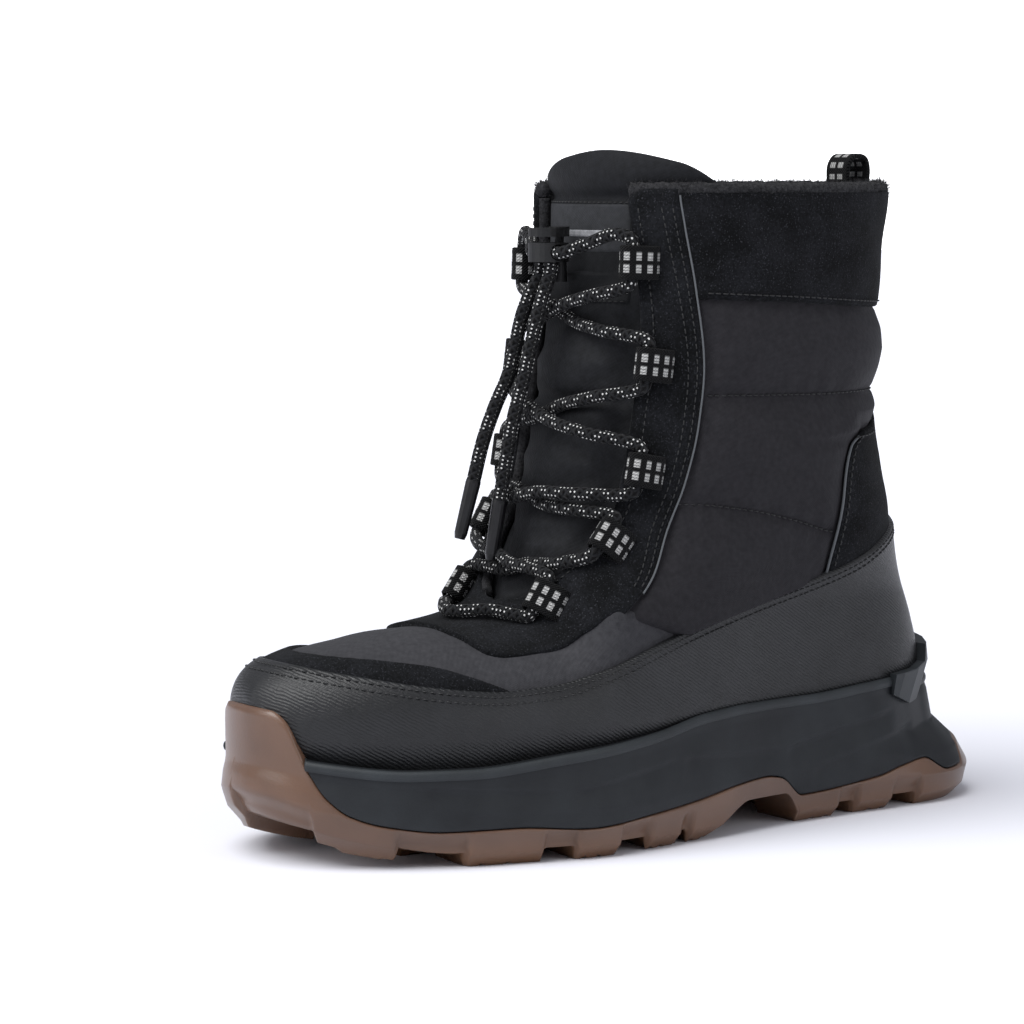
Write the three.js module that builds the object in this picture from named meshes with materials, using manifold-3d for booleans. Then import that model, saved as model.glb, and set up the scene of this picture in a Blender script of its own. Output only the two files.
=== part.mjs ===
// A left snow boot, built as the assembly that a maker puts together. Millimetres, +Z up.
// The toe points to -Y, the outer (lateral) side is +X, and the origin is on the floor
// under the middle of the sole.
import * as THREE from "three";
import { mergeVertices } from "three/addons/utils/BufferGeometryUtils.js";
import Module from "manifold-3d";

const wasm = await Module();
wasm.setup();

// ---------------------------------------------------------------- driving dimensions
const SOLE_LENGTH = 303;
const TOE_Y = -SOLE_LENGTH / 2;
const HEEL_Y = SOLE_LENGTH / 2;
const WALL = 4.6; // padded upper: shell cloth, foam and fleece
const GAP = 0.3; // between pieces that meet
const FINEST = 0.04; // detail smaller than this is left out
const RAND_THICK = 1.9;
const RING_STEPS = 56; // points round one section of the upper
const LACE_D = 5;

// ---------------------------------------------------------------- small helpers
const clamp = (t, lo = 0, hi = 1) => Math.min(hi, Math.max(lo, t));
const lerp = (a, b, t) => a + (b - a) * t;
const smooth = (lo, hi, x) => {
  const t = clamp((x - lo) / (hi - lo));
  return t * t * (3 - 2 * t);
};

// Round end of a section: 0 at its tip, 1 where it reaches its full width.
const cap = (t, n = 2.4, m = 2) => (t <= 0 ? 0 : t >= 1 ? 1 : (1 - (1 - t) ** n) ** (1 / m));

// Smooth curve through the rows of a table: column `key` at position `x` of column `by`.
function along(table, by, key, x) {
  const n = table.length;
  if (x <= table[0][by]) return table[0][key];
  if (x >= table[n - 1][by]) return table[n - 1][key];
  let i = 0;
  while (x > table[i + 1][by]) i += 1;
  const slope = (j) => {
    if (j === 0 || j === n - 1) return 0;
    const before = (table[j][key] - table[j - 1][key]) / (table[j][by] - table[j - 1][by]);
    const after = (table[j + 1][key] - table[j][key]) / (table[j + 1][by] - table[j][by]);
    return before * after <= 0 ? 0 : (2 * before * after) / (before + after);
  };
  const h = table[i + 1][by] - table[i][by];
  const t = (x - table[i][by]) / h;
  const t2 = t * t;
  const t3 = t2 * t;
  return (
    (2 * t3 - 3 * t2 + 1) * table[i][key] +
    (t3 - 2 * t2 + t) * h * slope(i) +
    (-2 * t3 + 3 * t2) * table[i + 1][key] +
    (t3 - t2) * h * slope(i + 1)
  );
}

const rows = (keys, values) =>
  values.map((line) => Object.fromEntries(keys.map((key, k) => [key, line[k]])));

// ---------------------------------------------------------------- solids and booleans
function solidOf(geometry) {
  const bare = geometry.clone();
  bare.deleteAttribute("normal");
  bare.deleteAttribute("uv");
  const merged = mergeVertices(bare, 1e-4);
  return new wasm.Manifold(
    new wasm.Mesh({
      numProp: 3,
      vertProperties: new Float32Array(merged.attributes.position.array),
      triVerts: new Uint32Array(merged.index.array),
    }),
  );
}

function geometryOf(solid) {
  const mesh = solid.simplify(FINEST).getMesh();
  const geometry = new THREE.BufferGeometry();
  geometry.setAttribute("position", new THREE.BufferAttribute(Float32Array.from(mesh.vertProperties), 3));
  geometry.setIndex(new THREE.BufferAttribute(Uint32Array.from(mesh.triVerts), 1));
  return geometry;
}

// A closed solid from rows of points: `around` closes each row on itself, and
// the first and last rows are closed by a fan, or `tube` joins the last row to the first.
function loft(grid, { tube = false } = {}) {
  const n = grid[0].length;
  const points = grid.flat();
  const index = [];
  const last = tube ? grid.length : grid.length - 1;
  for (let i = 0; i < last; i += 1) {
    const a = i * n;
    const b = ((i + 1) % grid.length) * n;
    for (let k = 0; k < n; k += 1) {
      const k2 = (k + 1) % n;
      index.push(a + k, a + k2, b + k2, a + k, b + k2, b + k);
    }
  }
  if (!tube) {
    for (const [row, flip] of [[0, true], [grid.length - 1, false]]) {
      const centre = points.length;
      const sum = grid[row].reduce((total, p) => total.add(p), new THREE.Vector3());
      points.push(sum.divideScalar(n));
      for (let k = 0; k < n; k += 1) {
        const a = row * n + k;
        const b = row * n + ((k + 1) % n);
        index.push(...(flip ? [a, centre, b] : [a, b, centre]));
      }
    }
  }
  const geometry = new THREE.BufferGeometry().setFromPoints(points);
  geometry.setIndex(index);
  return geometry;
}

// A thick patch: an outer and an inner grid, joined along their four borders.
function patch(outer, inner) {
  const rowsOf = outer.length;
  const n = outer[0].length;
  const points = [...outer.flat(), ...inner.flat()];
  const at = (face, i, k) => face * rowsOf * n + i * n + k;
  const index = [];
  const quad = (a, b, c, d) => index.push(a, b, c, a, c, d);
  for (let i = 0; i < rowsOf - 1; i += 1) {
    for (let k = 0; k < n - 1; k += 1) {
      quad(at(0, i, k), at(0, i, k + 1), at(0, i + 1, k + 1), at(0, i + 1, k));
      quad(at(1, i, k), at(1, i + 1, k), at(1, i + 1, k + 1), at(1, i, k + 1));
    }
    quad(at(0, i, 0), at(0, i + 1, 0), at(1, i + 1, 0), at(1, i, 0));
    quad(at(0, i, n - 1), at(1, i, n - 1), at(1, i + 1, n - 1), at(0, i + 1, n - 1));
  }
  const top = rowsOf - 1;
  for (let k = 0; k < n - 1; k += 1) {
    quad(at(0, 0, k), at(1, 0, k), at(1, 0, k + 1), at(0, 0, k + 1));
    quad(at(0, top, k), at(0, top, k + 1), at(1, top, k + 1), at(1, top, k));
  }
  const geometry = new THREE.BufferGeometry().setFromPoints(points);
  geometry.setIndex(index);
  return geometry;
}

// ---------------------------------------------------------------- the upper's own function
// Front and back line of the boot at its middle plane, from the foot bed to above the collar;
// `sag` lowers a section between its two ends.
const LINES = rows(
  ["v", "frontY", "frontZ", "backY", "backZ", "sag"],
  [
    [0, -138, 28, 123, 38, 5],
    [1, -145.5, 44, 127, 52, 4],
    [2, -146.5, 55, 123.5, 67, 4],
    [3, -139.5, 64.5, 119, 80, 4.5],
    [4, -122, 70, 115, 92, 4.5],
    [5, -98, 73.5, 111.5, 104, 5],
    [6, -74, 76.5, 108, 115, 5.5],
    [7, -55, 81.5, 105.5, 125, 4],
    [8, -45.5, 95, 103.5, 137, 2.5],
    [9, -38.5, 118, 102.5, 152, 1.5],
    [10, -32.5, 145, 102.5, 168, 0.5],
    [11, -28, 171, 103.5, 186, 0],
    [12, -25, 197, 105, 205, 0],
    [13, -24, 222, 107, 222, 0],
    [14, -24, 242, 109, 242, 0],
  ],
);
const COLLAR = 13;

// Half widths of the foot along its length.
const FOOT = rows(
  ["y", "lateral", "medial"],
  [
    [-75, 47, 49.5],
    [-40, 51.5, 47.5],
    [0, 47.5, 41],
    [45, 40, 36.5],
    [95, 37.5, 36.5],
    [140, 37, 36],
  ],
);
// Half widths of the shaft over its height.
const SHAFT = rows(
  ["z", "lateral", "medial"],
  [
    [85, 49, 45],
    [110, 48, 45],
    [145, 49, 47],
    [200, 51, 49],
    [225, 52, 50],
    [245, 53, 51],
  ],
);
const TOE_SHIFT = -9; // the toe's tip lies to the inner side of the middle plane
const WIDEST_Z = 48; // height at which the forefoot is widest

// The front line itself, finely stepped, so that heights and lengths read from it agree.
const FRONT = Array.from({ length: 141 }, (_, k) => ({
  y: along(LINES, "v", "frontY", k / 10),
  z: along(LINES, "v", "frontZ", k / 10),
}));
const ROOF = FRONT.slice(20, 91);

const toeTipY = (z) => along(LINES.slice(0, 3), "frontZ", "frontY", z);
const frontY = (z) => along(FRONT, "z", "y", z);
const backY = (z) => along(LINES, "backZ", "backY", z);
const roofZ = (y) => (y > -38.5 ? 118 + (y + 38.5) * 6 : along(ROOF, "y", "z", y));
const centreX = (y) => TOE_SHIFT * (1 - smooth(TOE_Y, -30, y)) ** 1.5;

// Half width of the boot at a point of its side view.
function halfWidth(y, z, side) {
  const heelRound = cap((backY(z) - y) / lerp(48, 62, smooth(60, 130, z)), 2.3, 2);
  const ball = side === "lateral" ? -38 : -72;
  const toe = cap((y - toeTipY(z)) / (ball - toeTipY(z)), 2.5, 2);
  const rise = clamp((z - WIDEST_Z) / Math.max(roofZ(y) - WIDEST_Z, 1));
  const roof = (1 - rise ** 2.3) ** (1 / 2.1);
  const feather = 0.9 + 0.1 * smooth(26, WIDEST_Z, z);
  const foot = along(FOOT, "y", side, y) * toe * roof * feather * heelRound;
  const front = cap((y - frontY(z)) / 62, 2.6, 2.1);
  const shaft = along(SHAFT, "z", side, z) * front * heelRound;
  return lerp(foot, shaft, smooth(78, 118, z));
}

// Point of the outer surface: v runs up the boot, a runs round it from the toe
// over the lateral side (0 to PI) to the heel and back over the medial side.
function surface(v, a) {
  const s = (1 - Math.cos(a)) / 2;
  const at = (key) => along(LINES, "v", key, v);
  const y = lerp(at("frontY"), at("backY"), s);
  const z = lerp(at("frontZ"), at("backZ"), s) - at("sag") * 4 * s * (1 - s);
  const lateral = Math.sin(a) >= 0;
  const half = Math.abs(Math.sin(a)) < 1e-9 ? 0 : halfWidth(y, z, lateral ? "lateral" : "medial");
  return new THREE.Vector3(centreX(y) + (lateral ? half : -half), y, z);
}

// The same surface moved out by `offset` along its normal.
function offsetSurface(v, a, offset, level = false) {
  const dv = 0.08;
  const da = 0.06;
  const v0 = clamp(v - dv, 0, 14);
  const v1 = clamp(v + dv, 0, 14);
  const up = surface(v1, a).sub(surface(v0, a));
  const round = surface(v, a + da).sub(surface(v, a - da));
  const normal = round.cross(up).normalize();
  if (level) normal.setZ(0).normalize();
  return surface(v, a).addScaledVector(normal, offset);
}

const ringAngles = Array.from({ length: RING_STEPS }, (_, k) => (2 * Math.PI * k) / RING_STEPS);
const ring = (v, offset, level) => ringAngles.map((a) => offsetSurface(v, a, offset, level));

// ---------------------------------------------------------------- upper
const UPPER_LEVELS = [0, 1, 1.5, 2, 2.5, 3, 3.5, 4, 5, 6, 7, 7.5, 8, 8.5, 9, 10, 11, 12, 13];
const isEdge = (v) => v === 0 || v === COLLAR;

// Half width of the throat over its height.
const THROAT = rows(
  ["z", "lateral", "medial"],
  [
    [82.5, 0, 0],
    [84, 10, 10],
    [88, 18, 17],
    [96, 26, 22],
    [106, 31, 25],
    [116, 32.5, 26],
    [140, 33, 27],
    [170, 33, 28],
    [200, 30, 28],
    [225, 27, 27],
    [262, 27, 27],
  ],
);

// The opening of the throat, right through the front; `shrink` makes it narrower.
function throatCutter(shrink = 0) {
  const shape = new THREE.Shape();
  const inside = (half) => Math.max(half - shrink, 0);
  const lateral = THROAT.map((row) => new THREE.Vector2(inside(row.lateral), row.z + shrink));
  const medial = THROAT.slice(1).map((row) => new THREE.Vector2(-inside(row.medial), row.z + shrink));
  shape.setFromPoints([...lateral, ...medial.reverse()]);
  const block = new THREE.ExtrudeGeometry(shape, { depth: 110, bevelEnabled: false });
  block.rotateX(Math.PI / 2);
  block.translate(centreX(-60) * 0.5, 0, 0);
  return solidOf(block);
}

// Wall between two offsets of the surface, and the filled form inside one offset.
const wall = (outside, inside) =>
  solidOf(
    loft(
      [
        ...UPPER_LEVELS.map((v) => ring(v, outside, isEdge(v))),
        ...UPPER_LEVELS.map((v) => ring(v, inside, isEdge(v))).reverse(),
      ],
      { tube: true },
    ),
  );
const lowered = (offset, drop) => ring(0, offset, true).map((p) => p.setZ(p.z - drop));
const filled = (offset) =>
  solidOf(loft([lowered(offset, 8), ...UPPER_LEVELS.map((v) => ring(v, offset, isEdge(v)))]));
const largest = (solid) =>
  solid.decompose().reduce((best, piece) => (piece.volume() > best.volume() ? piece : best));

const upperSolid = () => wall(0, -WALL).subtract(throatCutter());
const upper = upperSolid();
const SIDEWAYS = [[GAP, 0, 0], [-GAP, 0, 0], [0, GAP, 0], [0, -GAP, 0], [0, 0, GAP], [0, 0, -GAP]];
const around = (solid) => SIDEWAYS.reduce((all, step) => all.add(solid.translate(step)), solid);
const nearUpper = around(upper);
const aroundUpper = filled(GAP).add(nearUpper);

// ---------------------------------------------------------------- rand
// Height of the mudguard's top edge along the boot.
const RAND_TOP = rows(
  ["y", "z"],
  [
    [-150, 69],
    [-138, 66.5],
    [-120, 63],
    [-98, 59.5],
    [-80, 58],
    [-62, 59],
    [-45, 63],
    [-20, 71],
    [5, 77.5],
    [50, 86.5],
    [75, 93.5],
    [98, 102.5],
    [120, 109],
  ],
);

const randSolid = () =>
  largest(wall(GAP + RAND_THICK, GAP).intersect(below(toEnds(RAND_TOP), 0)).subtract(upper));

// ---------------------------------------------------------------- sole
// Outline of the sole's widest part, half widths from the middle plane.
const OUTLINE = rows(
  ["y", "lateral", "medial"],
  [
    [-80, 52.9, 54.1],
    [-45, 56.9, 51.1],
    [0, 52, 44.5],
    [45, 45, 40],
    [90, 43, 40.5],
    [140, 42.5, 40],
  ],
);

function outlinePoint(a, inset, rear) {
  const s = (1 - Math.cos(a)) / 2;
  const lateral = Math.sin(a) >= 0;
  const y = lerp(TOE_Y, HEEL_Y, s);
  const ball = lateral ? -38 : -72;
  const toe = cap((y - TOE_Y) / (ball - TOE_Y), 2.5, 2);
  const heel = cap((HEEL_Y - y) / 46, 2.3, 2);
  const half = along(OUTLINE, "y", lateral ? "lateral" : "medial", y) * toe * heel;
  return new THREE.Vector2(centreX(y) + (lateral ? half : -half), y);
}

// Outline moved in by `side` all round and by `rear` at the heel.
function soleRing(side, rear, heightAt) {
  return ringAngles.map((a) => {
    const p = outlinePoint(a);
    const tangent = outlinePoint(a + 0.04).sub(outlinePoint(a - 0.04)).normalize();
    const normal = new THREE.Vector2(tangent.y, -tangent.x);
    const inset = lerp(side, rear, smooth(82, 128, p.y));
    p.addScaledVector(normal, -inset);
    return new THREE.Vector3(p.x, p.y, heightAt(p.y));
  });
}

// Toe spring and heel bevel lift the tread off the floor; the arch lifts it at the waist.
const SPRING = rows(
  ["y", "z"],
  [
    [-153, 14],
    [-140, 9],
    [-122, 4],
    [-98, 0],
    [138, 0],
    [153, 4],
  ],
);
const ARCH = rows(
  ["y", "z"],
  [
    [0, 0],
    [8, 4],
    [22, 12],
    [40, 12],
    [48, 4],
    [49.5, 0],
  ],
);
// Top edge of the midsole's lip.
const LIP = rows(
  ["y", "z"],
  [
    [-152, 40],
    [-139, 36.5],
    [-111, 33.5],
    [-94, 33.5],
    [-59, 37],
    [-23, 41],
    [1, 45],
    [23, 46],
    [51, 46],
    [93, 48.3],
    [107, 43],
    [122, 44],
    [152, 45],
  ],
);
// Where gum rubber ends and midsole begins; at the toe the gum climbs as a bumper.
const GUM_TOP = rows(
  ["y", "z"],
  [
    [-160, 54.5],
    [-149, 53],
    [-146, 49.5],
    [-143, 40],
    [-140, 31],
    [-136, 24],
    [-130, 18.5],
    [-120, 15],
    [-102, 12.7],
    [-80, 12.7],
    [-51, 10.8],
    [-28, 12.7],
    [-6, 14.8],
    [16, 18],
    [30, 19],
    [38, 17.8],
    [49, 10.3],
    [85, 12.9],
    [98, 15.8],
    [110, 17.3],
    [122, 12],
    [132, 12.5],
    [141, 20],
    [160, 23],
  ],
);

const lugZ = (y) => along(SPRING, "y", "z", y);
const lipZ = (y) => along(LIP, "y", "z", y);
// Rings of the sole block from tread to lip: how far in at the side and at the rear,
// and where each lies between tread and lip.
const SOLE_RINGS = [
  { side: 8.6, rear: 9, z: (y) => lugZ(y) - 3 }, // cut off again at the ground line
  { side: 6, rear: 6, z: (y) => lugZ(y) },
  { side: 2, rear: 1.5, z: (y) => lugZ(y) + 4.5 },
  { side: 0.6, rear: 0, z: (y) => lerp(lugZ(y) + 9, 20, 0.2) },
  { side: 0, rear: 4, z: (y) => lerp(lugZ(y), lipZ(y), 0.42) },
  { side: 0.6, rear: 13, z: (y) => lerp(lugZ(y), lipZ(y), 0.62) },
  { side: 1.6, rear: 15, z: (y) => lipZ(y) - 6 },
  { side: 1.2, rear: 16.5, z: (y) => lipZ(y) - 1.5 },
  { side: 2.4, rear: 17.5, z: (y) => lipZ(y) },
];
const BUMPER_Z = 56;
const bumperZ = (y) => Math.max(lipZ(y), lerp(lipZ(y), BUMPER_Z, smooth(-115, -135, y)));
const soleRings = (list) => list.map((r) => soleRing(r.side, r.rear, r.z));
const block = solidOf(loft(soleRings(SOLE_RINGS)));
const tallBlock = solidOf(
  loft(soleRings([...SOLE_RINGS.slice(0, 7), { side: 1.4, rear: 18, z: (y) => bumperZ(y) - 3 }, { side: 4, rear: 19, z: bumperZ }])),
);

// Everything below the line z(y) of a table, right across the sole.
function below(table, lift, shift = 0) {
  const top = table.map((row) => new THREE.Vector2(row.y + (row.y < -120 ? shift : 0), row.z + lift));
  const shape = new THREE.Shape();
  shape.setFromPoints([new THREE.Vector2(-170, -9), new THREE.Vector2(170, -9), ...top.reverse()]);
  const slab = new THREE.ExtrudeGeometry(shape, { depth: 160, bevelEnabled: false });
  slab.translate(0, 0, -80);
  const turn = new THREE.Matrix4().makeBasis(
    new THREE.Vector3(0, 1, 0),
    new THREE.Vector3(0, 0, 1),
    new THREE.Vector3(1, 0, 0),
  );
  slab.applyMatrix4(turn);
  return solidOf(slab);
}

const toEnds = (line) => [{ ...line[0], y: -170 }, ...line, { ...line.at(-1), y: 170 }];

// Room that the lasted upper with its rand takes up in the sole.
function cupSolid() {
  const room = RAND_THICK + 3 * GAP;
  const sides = UPPER_LEVELS.filter((v) => v > 0 && v < 4).map((v) => ring(v, room, false));
  return solidOf(loft([lowered(-WALL - 4, GAP), lowered(room, GAP), ...sides]));
}

// Tread blocks: where each begins and ends along the boot; `rake` sets its inner end back.
const SIDE_LUGS = rows(
  ["from", "to", "rake"],
  [
    [-160, -117, 0],
    [-98, -71, 7],
    [-59, -41, 7],
    [-28, -13, 7],
    [-8, 7, 5],
    [51, 71, -6],
    [80, 97, -6],
    [110, 160, -6],
  ],
);
const CENTRE_LUGS = rows(
  ["from", "to", "rake"],
  [
    [-108, -90, 7],
    [-82, -64, 7],
    [-56, -38, 7],
    [-30, -14, 6],
    [60, 76, -5],
    [84, 100, -5],
    [108, 122, -4],
  ],
);
const LUG_INNER = 17;
const CENTRE_HALF = 12;
const TREAD_DEPTH = 5;

// Upright block over an outline, wound either way.
function prism(points) {
  const shape = new THREE.Shape();
  shape.setFromPoints(points.map(([x, y]) => new THREE.Vector2(x, y)));
  const block = new THREE.ExtrudeGeometry(shape, { depth: 30, bevelEnabled: false });
  block.translate(0, 0, -5);
  return solidOf(block);
}

function lugSolids() {
  const sides = SIDE_LUGS.flatMap(({ from, to, rake }) =>
    [1, -1].map((sign) =>
      prism(
        [
          [sign * LUG_INNER, from + rake],
          [sign * 80, from],
          [sign * 80, to],
          [sign * LUG_INNER, to + rake],
        ],
      ),
    ),
  );
  const centres = CENTRE_LUGS.map(({ from, to, rake }) =>
    prism([
      [0, from],
      [CENTRE_HALF, from + rake],
      [CENTRE_HALF, to + rake],
      [0, to],
      [-CENTRE_HALF, to + rake],
      [-CENTRE_HALF, from + rake],
    ]),
  );
  return [...sides, ...centres].reduce((all, one) => all.add(one));
}

const TREAD_FLOOR = Array.from({ length: 41 }, (_, k) => {
  const y = lerp(-160, 160, k / 40);
  return { y, z: Math.max(lugZ(y) + TREAD_DEPTH, along(ARCH, "y", "z", y)) };
});

function outsoleSolid() {
  const gum = tallBlock
    .intersect(below(GUM_TOP, 0))
    .subtract(cupSolid())
    .subtract(below(toEnds(SPRING), 0));
  const groove = below(TREAD_FLOOR, 0).subtract(lugSolids());
  return gum.subtract(groove).subtract(below(ARCH.filter((row) => row.z > 0), 0));
}
const midsoleSolid = () => block.subtract(below(GUM_TOP, GAP + 0.1, GAP + 0.1)).subtract(cupSolid());

// ---------------------------------------------------------------- insole
const INSOLE_THICK = 5;
function insoleSolid() {
  const inset = -WALL - 0.5;
  const level = (more, up) => ring(0, inset - more, true).map((p) => p.setZ(p.z + up));
  const under = 0.4;
  return solidOf(loft([level(4, under), level(0, under), level(0, under + INSOLE_THICK)]));
}

// ---------------------------------------------------------------- heel clip
const CLIP_FROM = 94;
const CLIP_THICK = 3.6;
const CLIP_TOP = rows(
  ["y", "z"],
  [
    [94, 49.5],
    [107, 50],
    [116, 51.5],
    [121, 57],
    [132, 59],
  ],
);
function clipSolid() {
  const inner = RAND_THICK + 2 * GAP;
  const behind = below([{ y: CLIP_FROM, z: -8 }, { y: CLIP_FROM, z: 80 }, { y: 170, z: 80 }], 0).subtract(below(toEnds(LIP), -6));
  return largest(
    filled(inner + CLIP_THICK)
      .subtract(filled(inner))
      .intersect(below(toEnds(CLIP_TOP), 0))
      .intersect(behind)
      .subtract(around(block)),
  );
}

// ---------------------------------------------------------------- tongue
// How far back the tongue reaches inside the throat, on its two sides.
const TONGUE = rows(
  ["v", "lateral", "medial"],
  [
    [6, -48, -48],
    [7, -36, -36],
    [8, -22, -22],
    [9.5, -8, -8],
    [11, 4, 2],
    [12.5, 10, 6],
    [13.8, 15, 6],
  ],
);
const TONGUE_THICK = 6;
const TONGUE_BULGE = 2.6;
const TONGUE_STEPS = 16;
const TONGUE_BASE = 6;
const TONGUE_ROWS = 14;
// The tongue's top edge, from its medial end to its lateral end.
const TONGUE_TOP = rows(
  ["across", "v"],
  [
    [0, 13],
    [0.12, 13.4],
    [0.3, 13.66],
    [0.5, 13.7],
    [0.75, 13.45],
    [1, 13.05],
  ],
);

// Angle round the section at which it reaches y.
function angleAtY(v, y) {
  const from = along(LINES, "v", "frontY", v);
  const to = along(LINES, "v", "backY", v);
  return Math.acos(1 - 2 * clamp((y - from) / (to - from)));
}

function tongueOffset(p) {
  const inLateral = along(THROAT, "z", "lateral", p.z) - p.x;
  const inMedial = along(THROAT, "z", "medial", p.z) + p.x;
  const bulge = TONGUE_BULGE * smooth(1.5, 12, Math.min(inLateral, inMedial)) * (1 - smooth(160, 188, p.z));
  return -WALL - 0.45 + bulge;
}

function tongueSolid() {
  const face = (thick) =>
    Array.from({ length: TONGUE_ROWS + 1 }, (_, i) =>
      Array.from({ length: TONGUE_STEPS + 1 }, (__, k) => {
        const across = k / TONGUE_STEPS;
        const v = lerp(TONGUE_BASE, along(TONGUE_TOP, "across", "v", across), (i / TONGUE_ROWS) ** 0.9);
        const lateral = angleAtY(v, along(TONGUE, "v", "lateral", v));
        const medial = angleAtY(v, along(TONGUE, "v", "medial", v));
        const a = lerp(-medial, lateral, across);
        return offsetSurface(v, a, tongueOffset(surface(v, a)) - thick);
      }),
    );
  const nearWall = wall(2 * GAP, -WALL - 2 * GAP).subtract(throatCutter(GAP));
  return largest(solidOf(patch(face(0), face(TONGUE_THICK))).subtract(nearWall).subtract(nearUpper));
}

// ---------------------------------------------------------------- lace loops
// Point of the front of the boot with the given x and height.
function frontPoint(x, z) {
  const sign = x < 0 ? -1 : 1;
  const angleFor = (v) => {
    let low = 0;
    let high = Math.PI / 2;
    for (let k = 0; k < 24; k += 1) {
      const mid = (low + high) / 2;
      if (sign * surface(v, sign * mid).x < sign * x) low = mid;
      else high = mid;
    }
    return sign * low;
  };
  let low = 5;
  let high = 14;
  for (let k = 0; k < 24; k += 1) {
    const mid = (low + high) / 2;
    if (surface(mid, angleFor(mid)).z < z) low = mid;
    else high = mid;
  }
  return [low, angleFor(low)];
}

function frontFrame(x, z) {
  const [v, a] = frontPoint(x, z);
  const point = surface(v, a);
  const normal = offsetSurface(v, a, 1).sub(point).normalize();
  const up = surface(v + 0.1, a).sub(surface(v - 0.1, a));
  up.addScaledVector(normal, -up.dot(normal)).normalize();
  return { point, normal, up };
}

const LOOPS = rows(
  ["side", "x", "z"],
  [
    ["lateral", 30, 200],
    ["lateral", 35.5, 165],
    ["lateral", 36.5, 129],
    ["lateral", 34.5, 105],
    ["lateral", 24, 84],
    ["medial", -30, 198],
    ["medial", -31, 165],
    ["medial", -31, 131],
    ["medial", -28.5, 107],
    ["medial", -22, 83.5],
  ],
);
const LOOP_WIDTH = 12;
const LOOP_THICK = 1.2;
const LOOP_TAIL = 10;
const LACE_HOLE = LACE_D / 2 + 0.35;

// A loop of webbing round the lace: a ring that runs out into a flat tail.
function loopFrame({ side, x, z }) {
  const { point, normal, up } = frontFrame(x, z);
  const away = new THREE.Vector3().crossVectors(normal, up).multiplyScalar(side === "lateral" ? -1 : 1);
  if (away.x * Math.sign(x) < 0) away.negate();
  const centre = point.clone().addScaledVector(normal, 0.6 + LOOP_THICK + LACE_HOLE);
  return { centre, normal, up, away };
}

function loopSolid(row, spare = 0) {
  const { centre, normal, up, away } = loopFrame(row);
  const r = LACE_HOLE + LOOP_THICK + spare;
  const shape = new THREE.Shape();
  const tailZ = -r + LOOP_THICK;
  shape.absarc(0, 0, r, Math.PI * 0.3, Math.PI * 1.5, false);
  shape.lineTo(LOOP_TAIL, -r);
  shape.lineTo(LOOP_TAIL, tailZ + 1.2);
  shape.closePath();
  const hole = new THREE.Path();
  hole.absarc(0, 0, LACE_HOLE, 0, 2 * Math.PI, true);
  if (!spare) shape.holes.push(hole);
  const depth = LOOP_WIDTH + 2 * spare;
  const strap = new THREE.ExtrudeGeometry(shape, { depth, bevelEnabled: false, curveSegments: 8 });
  strap.translate(0, 0, -depth / 2);
  const third = new THREE.Vector3().crossVectors(away, normal);
  strap.applyMatrix4(new THREE.Matrix4().makeBasis(away, normal, third).setPosition(centre));
  return spare ? solidOf(strap) : largest(solidOf(strap).subtract(aroundUpper));
}

// A lace solid cut clear of every loop; what remains is its largest piece.
const loopRoom = LOOPS.map((row) => loopSolid(row, GAP)).reduce((all, one) => all.add(one));
function clearOfLoops(solid) {
  return largest(solid.subtract(loopRoom).subtract(aroundUpper));
}

// ---------------------------------------------------------------- lace
const TUBE_SIDES = 8;

// A cord along a route of points; its section is a polygon round the lace's diameter.
function cordGeometry(points, steps, diameter = LACE_D) {
  const shape = new THREE.Shape();
  const corner = (k) => (2 * Math.PI * (k + 0.5)) / TUBE_SIDES;
  shape.setFromPoints(
    Array.from({ length: TUBE_SIDES }, (_, k) =>
      new THREE.Vector2(Math.cos(corner(k)), Math.sin(corner(k))).multiplyScalar(diameter / 2),
    ),
  );
  const extrudePath = new THREE.CatmullRomCurve3(points, false, "centripetal");
  return new THREE.ExtrudeGeometry(shape, { steps, extrudePath, bevelEnabled: false });
}

// Point above the front of the boot, `height` off its surface.
function above(x, z, height) {
  const { point, normal } = frontFrame(x, z);
  return point.addScaledVector(normal, height);
}

const LOOP_EXIT = LOOP_WIDTH / 2 + 1.6; // the CAD lace ends this far from a loop's middle
const CROSS_HEIGHT = { 1: -1.2, 2: 1.4, 3: 1.2, 4: 1.6 };

// Where the lace leaves a loop, upwards (way 1) or downwards (way -1).
function loopExit(side, number, way) {
  const row = LOOPS.find((loop, k) => loop.side === side && (k % 5) + 1 === number);
  const { centre, up } = loopFrame(row);
  return { end: centre.clone().addScaledVector(up, way * LOOP_EXIT), row };
}

function crossSolid(number) {
  const strand = (fromSide, toSide) => {
    const from = loopExit(fromSide, number, -1);
    const to = loopExit(toSide, number + 1, 1);
    const height = CROSS_HEIGHT[number];
    const middleZ = (from.row.z + to.row.z) / 2;
    const route = [
      from.end,
      above(from.row.x * 0.62, lerp(from.row.z - LOOP_EXIT, middleZ, 0.42), lerp(4, height, 0.5)),
      above(0, middleZ, height),
      above(to.row.x * 0.62, lerp(to.row.z + LOOP_EXIT, middleZ, 0.42), lerp(4, height, 0.5)),
      to.end,
    ];
    return solidOf(cordGeometry(route, 16));
  };
  return clearOfLoops(strand("lateral", "medial").add(strand("medial", "lateral")));
}

function bottomBar() {
  const from = loopExit("lateral", 5, -1);
  const to = loopExit("medial", 5, -1);
  const route = [
    from.end,
    above(13, 77.5, 4.2),
    above(0, 76.8, 3.6),
    above(-13, 77.5, 4.2),
    to.end,
  ];
  return clearOfLoops(solidOf(cordGeometry(route, 14)));
}

// ---------------------------------------------------------------- cord lock
const LOCK = { x: -0.5, y: -30.8, bottom: 199.8, top: 206.4, long: 7.2, wide: 6.8 };
const LOCK_TRAVEL = 1.8;
const STRAND_Z = 203.1;
const EXIT_X = 2.95;
const EXIT_Y = -0.6;
const POST_Y = 4.6; // the guide post and the stem stand behind the cords

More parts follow.
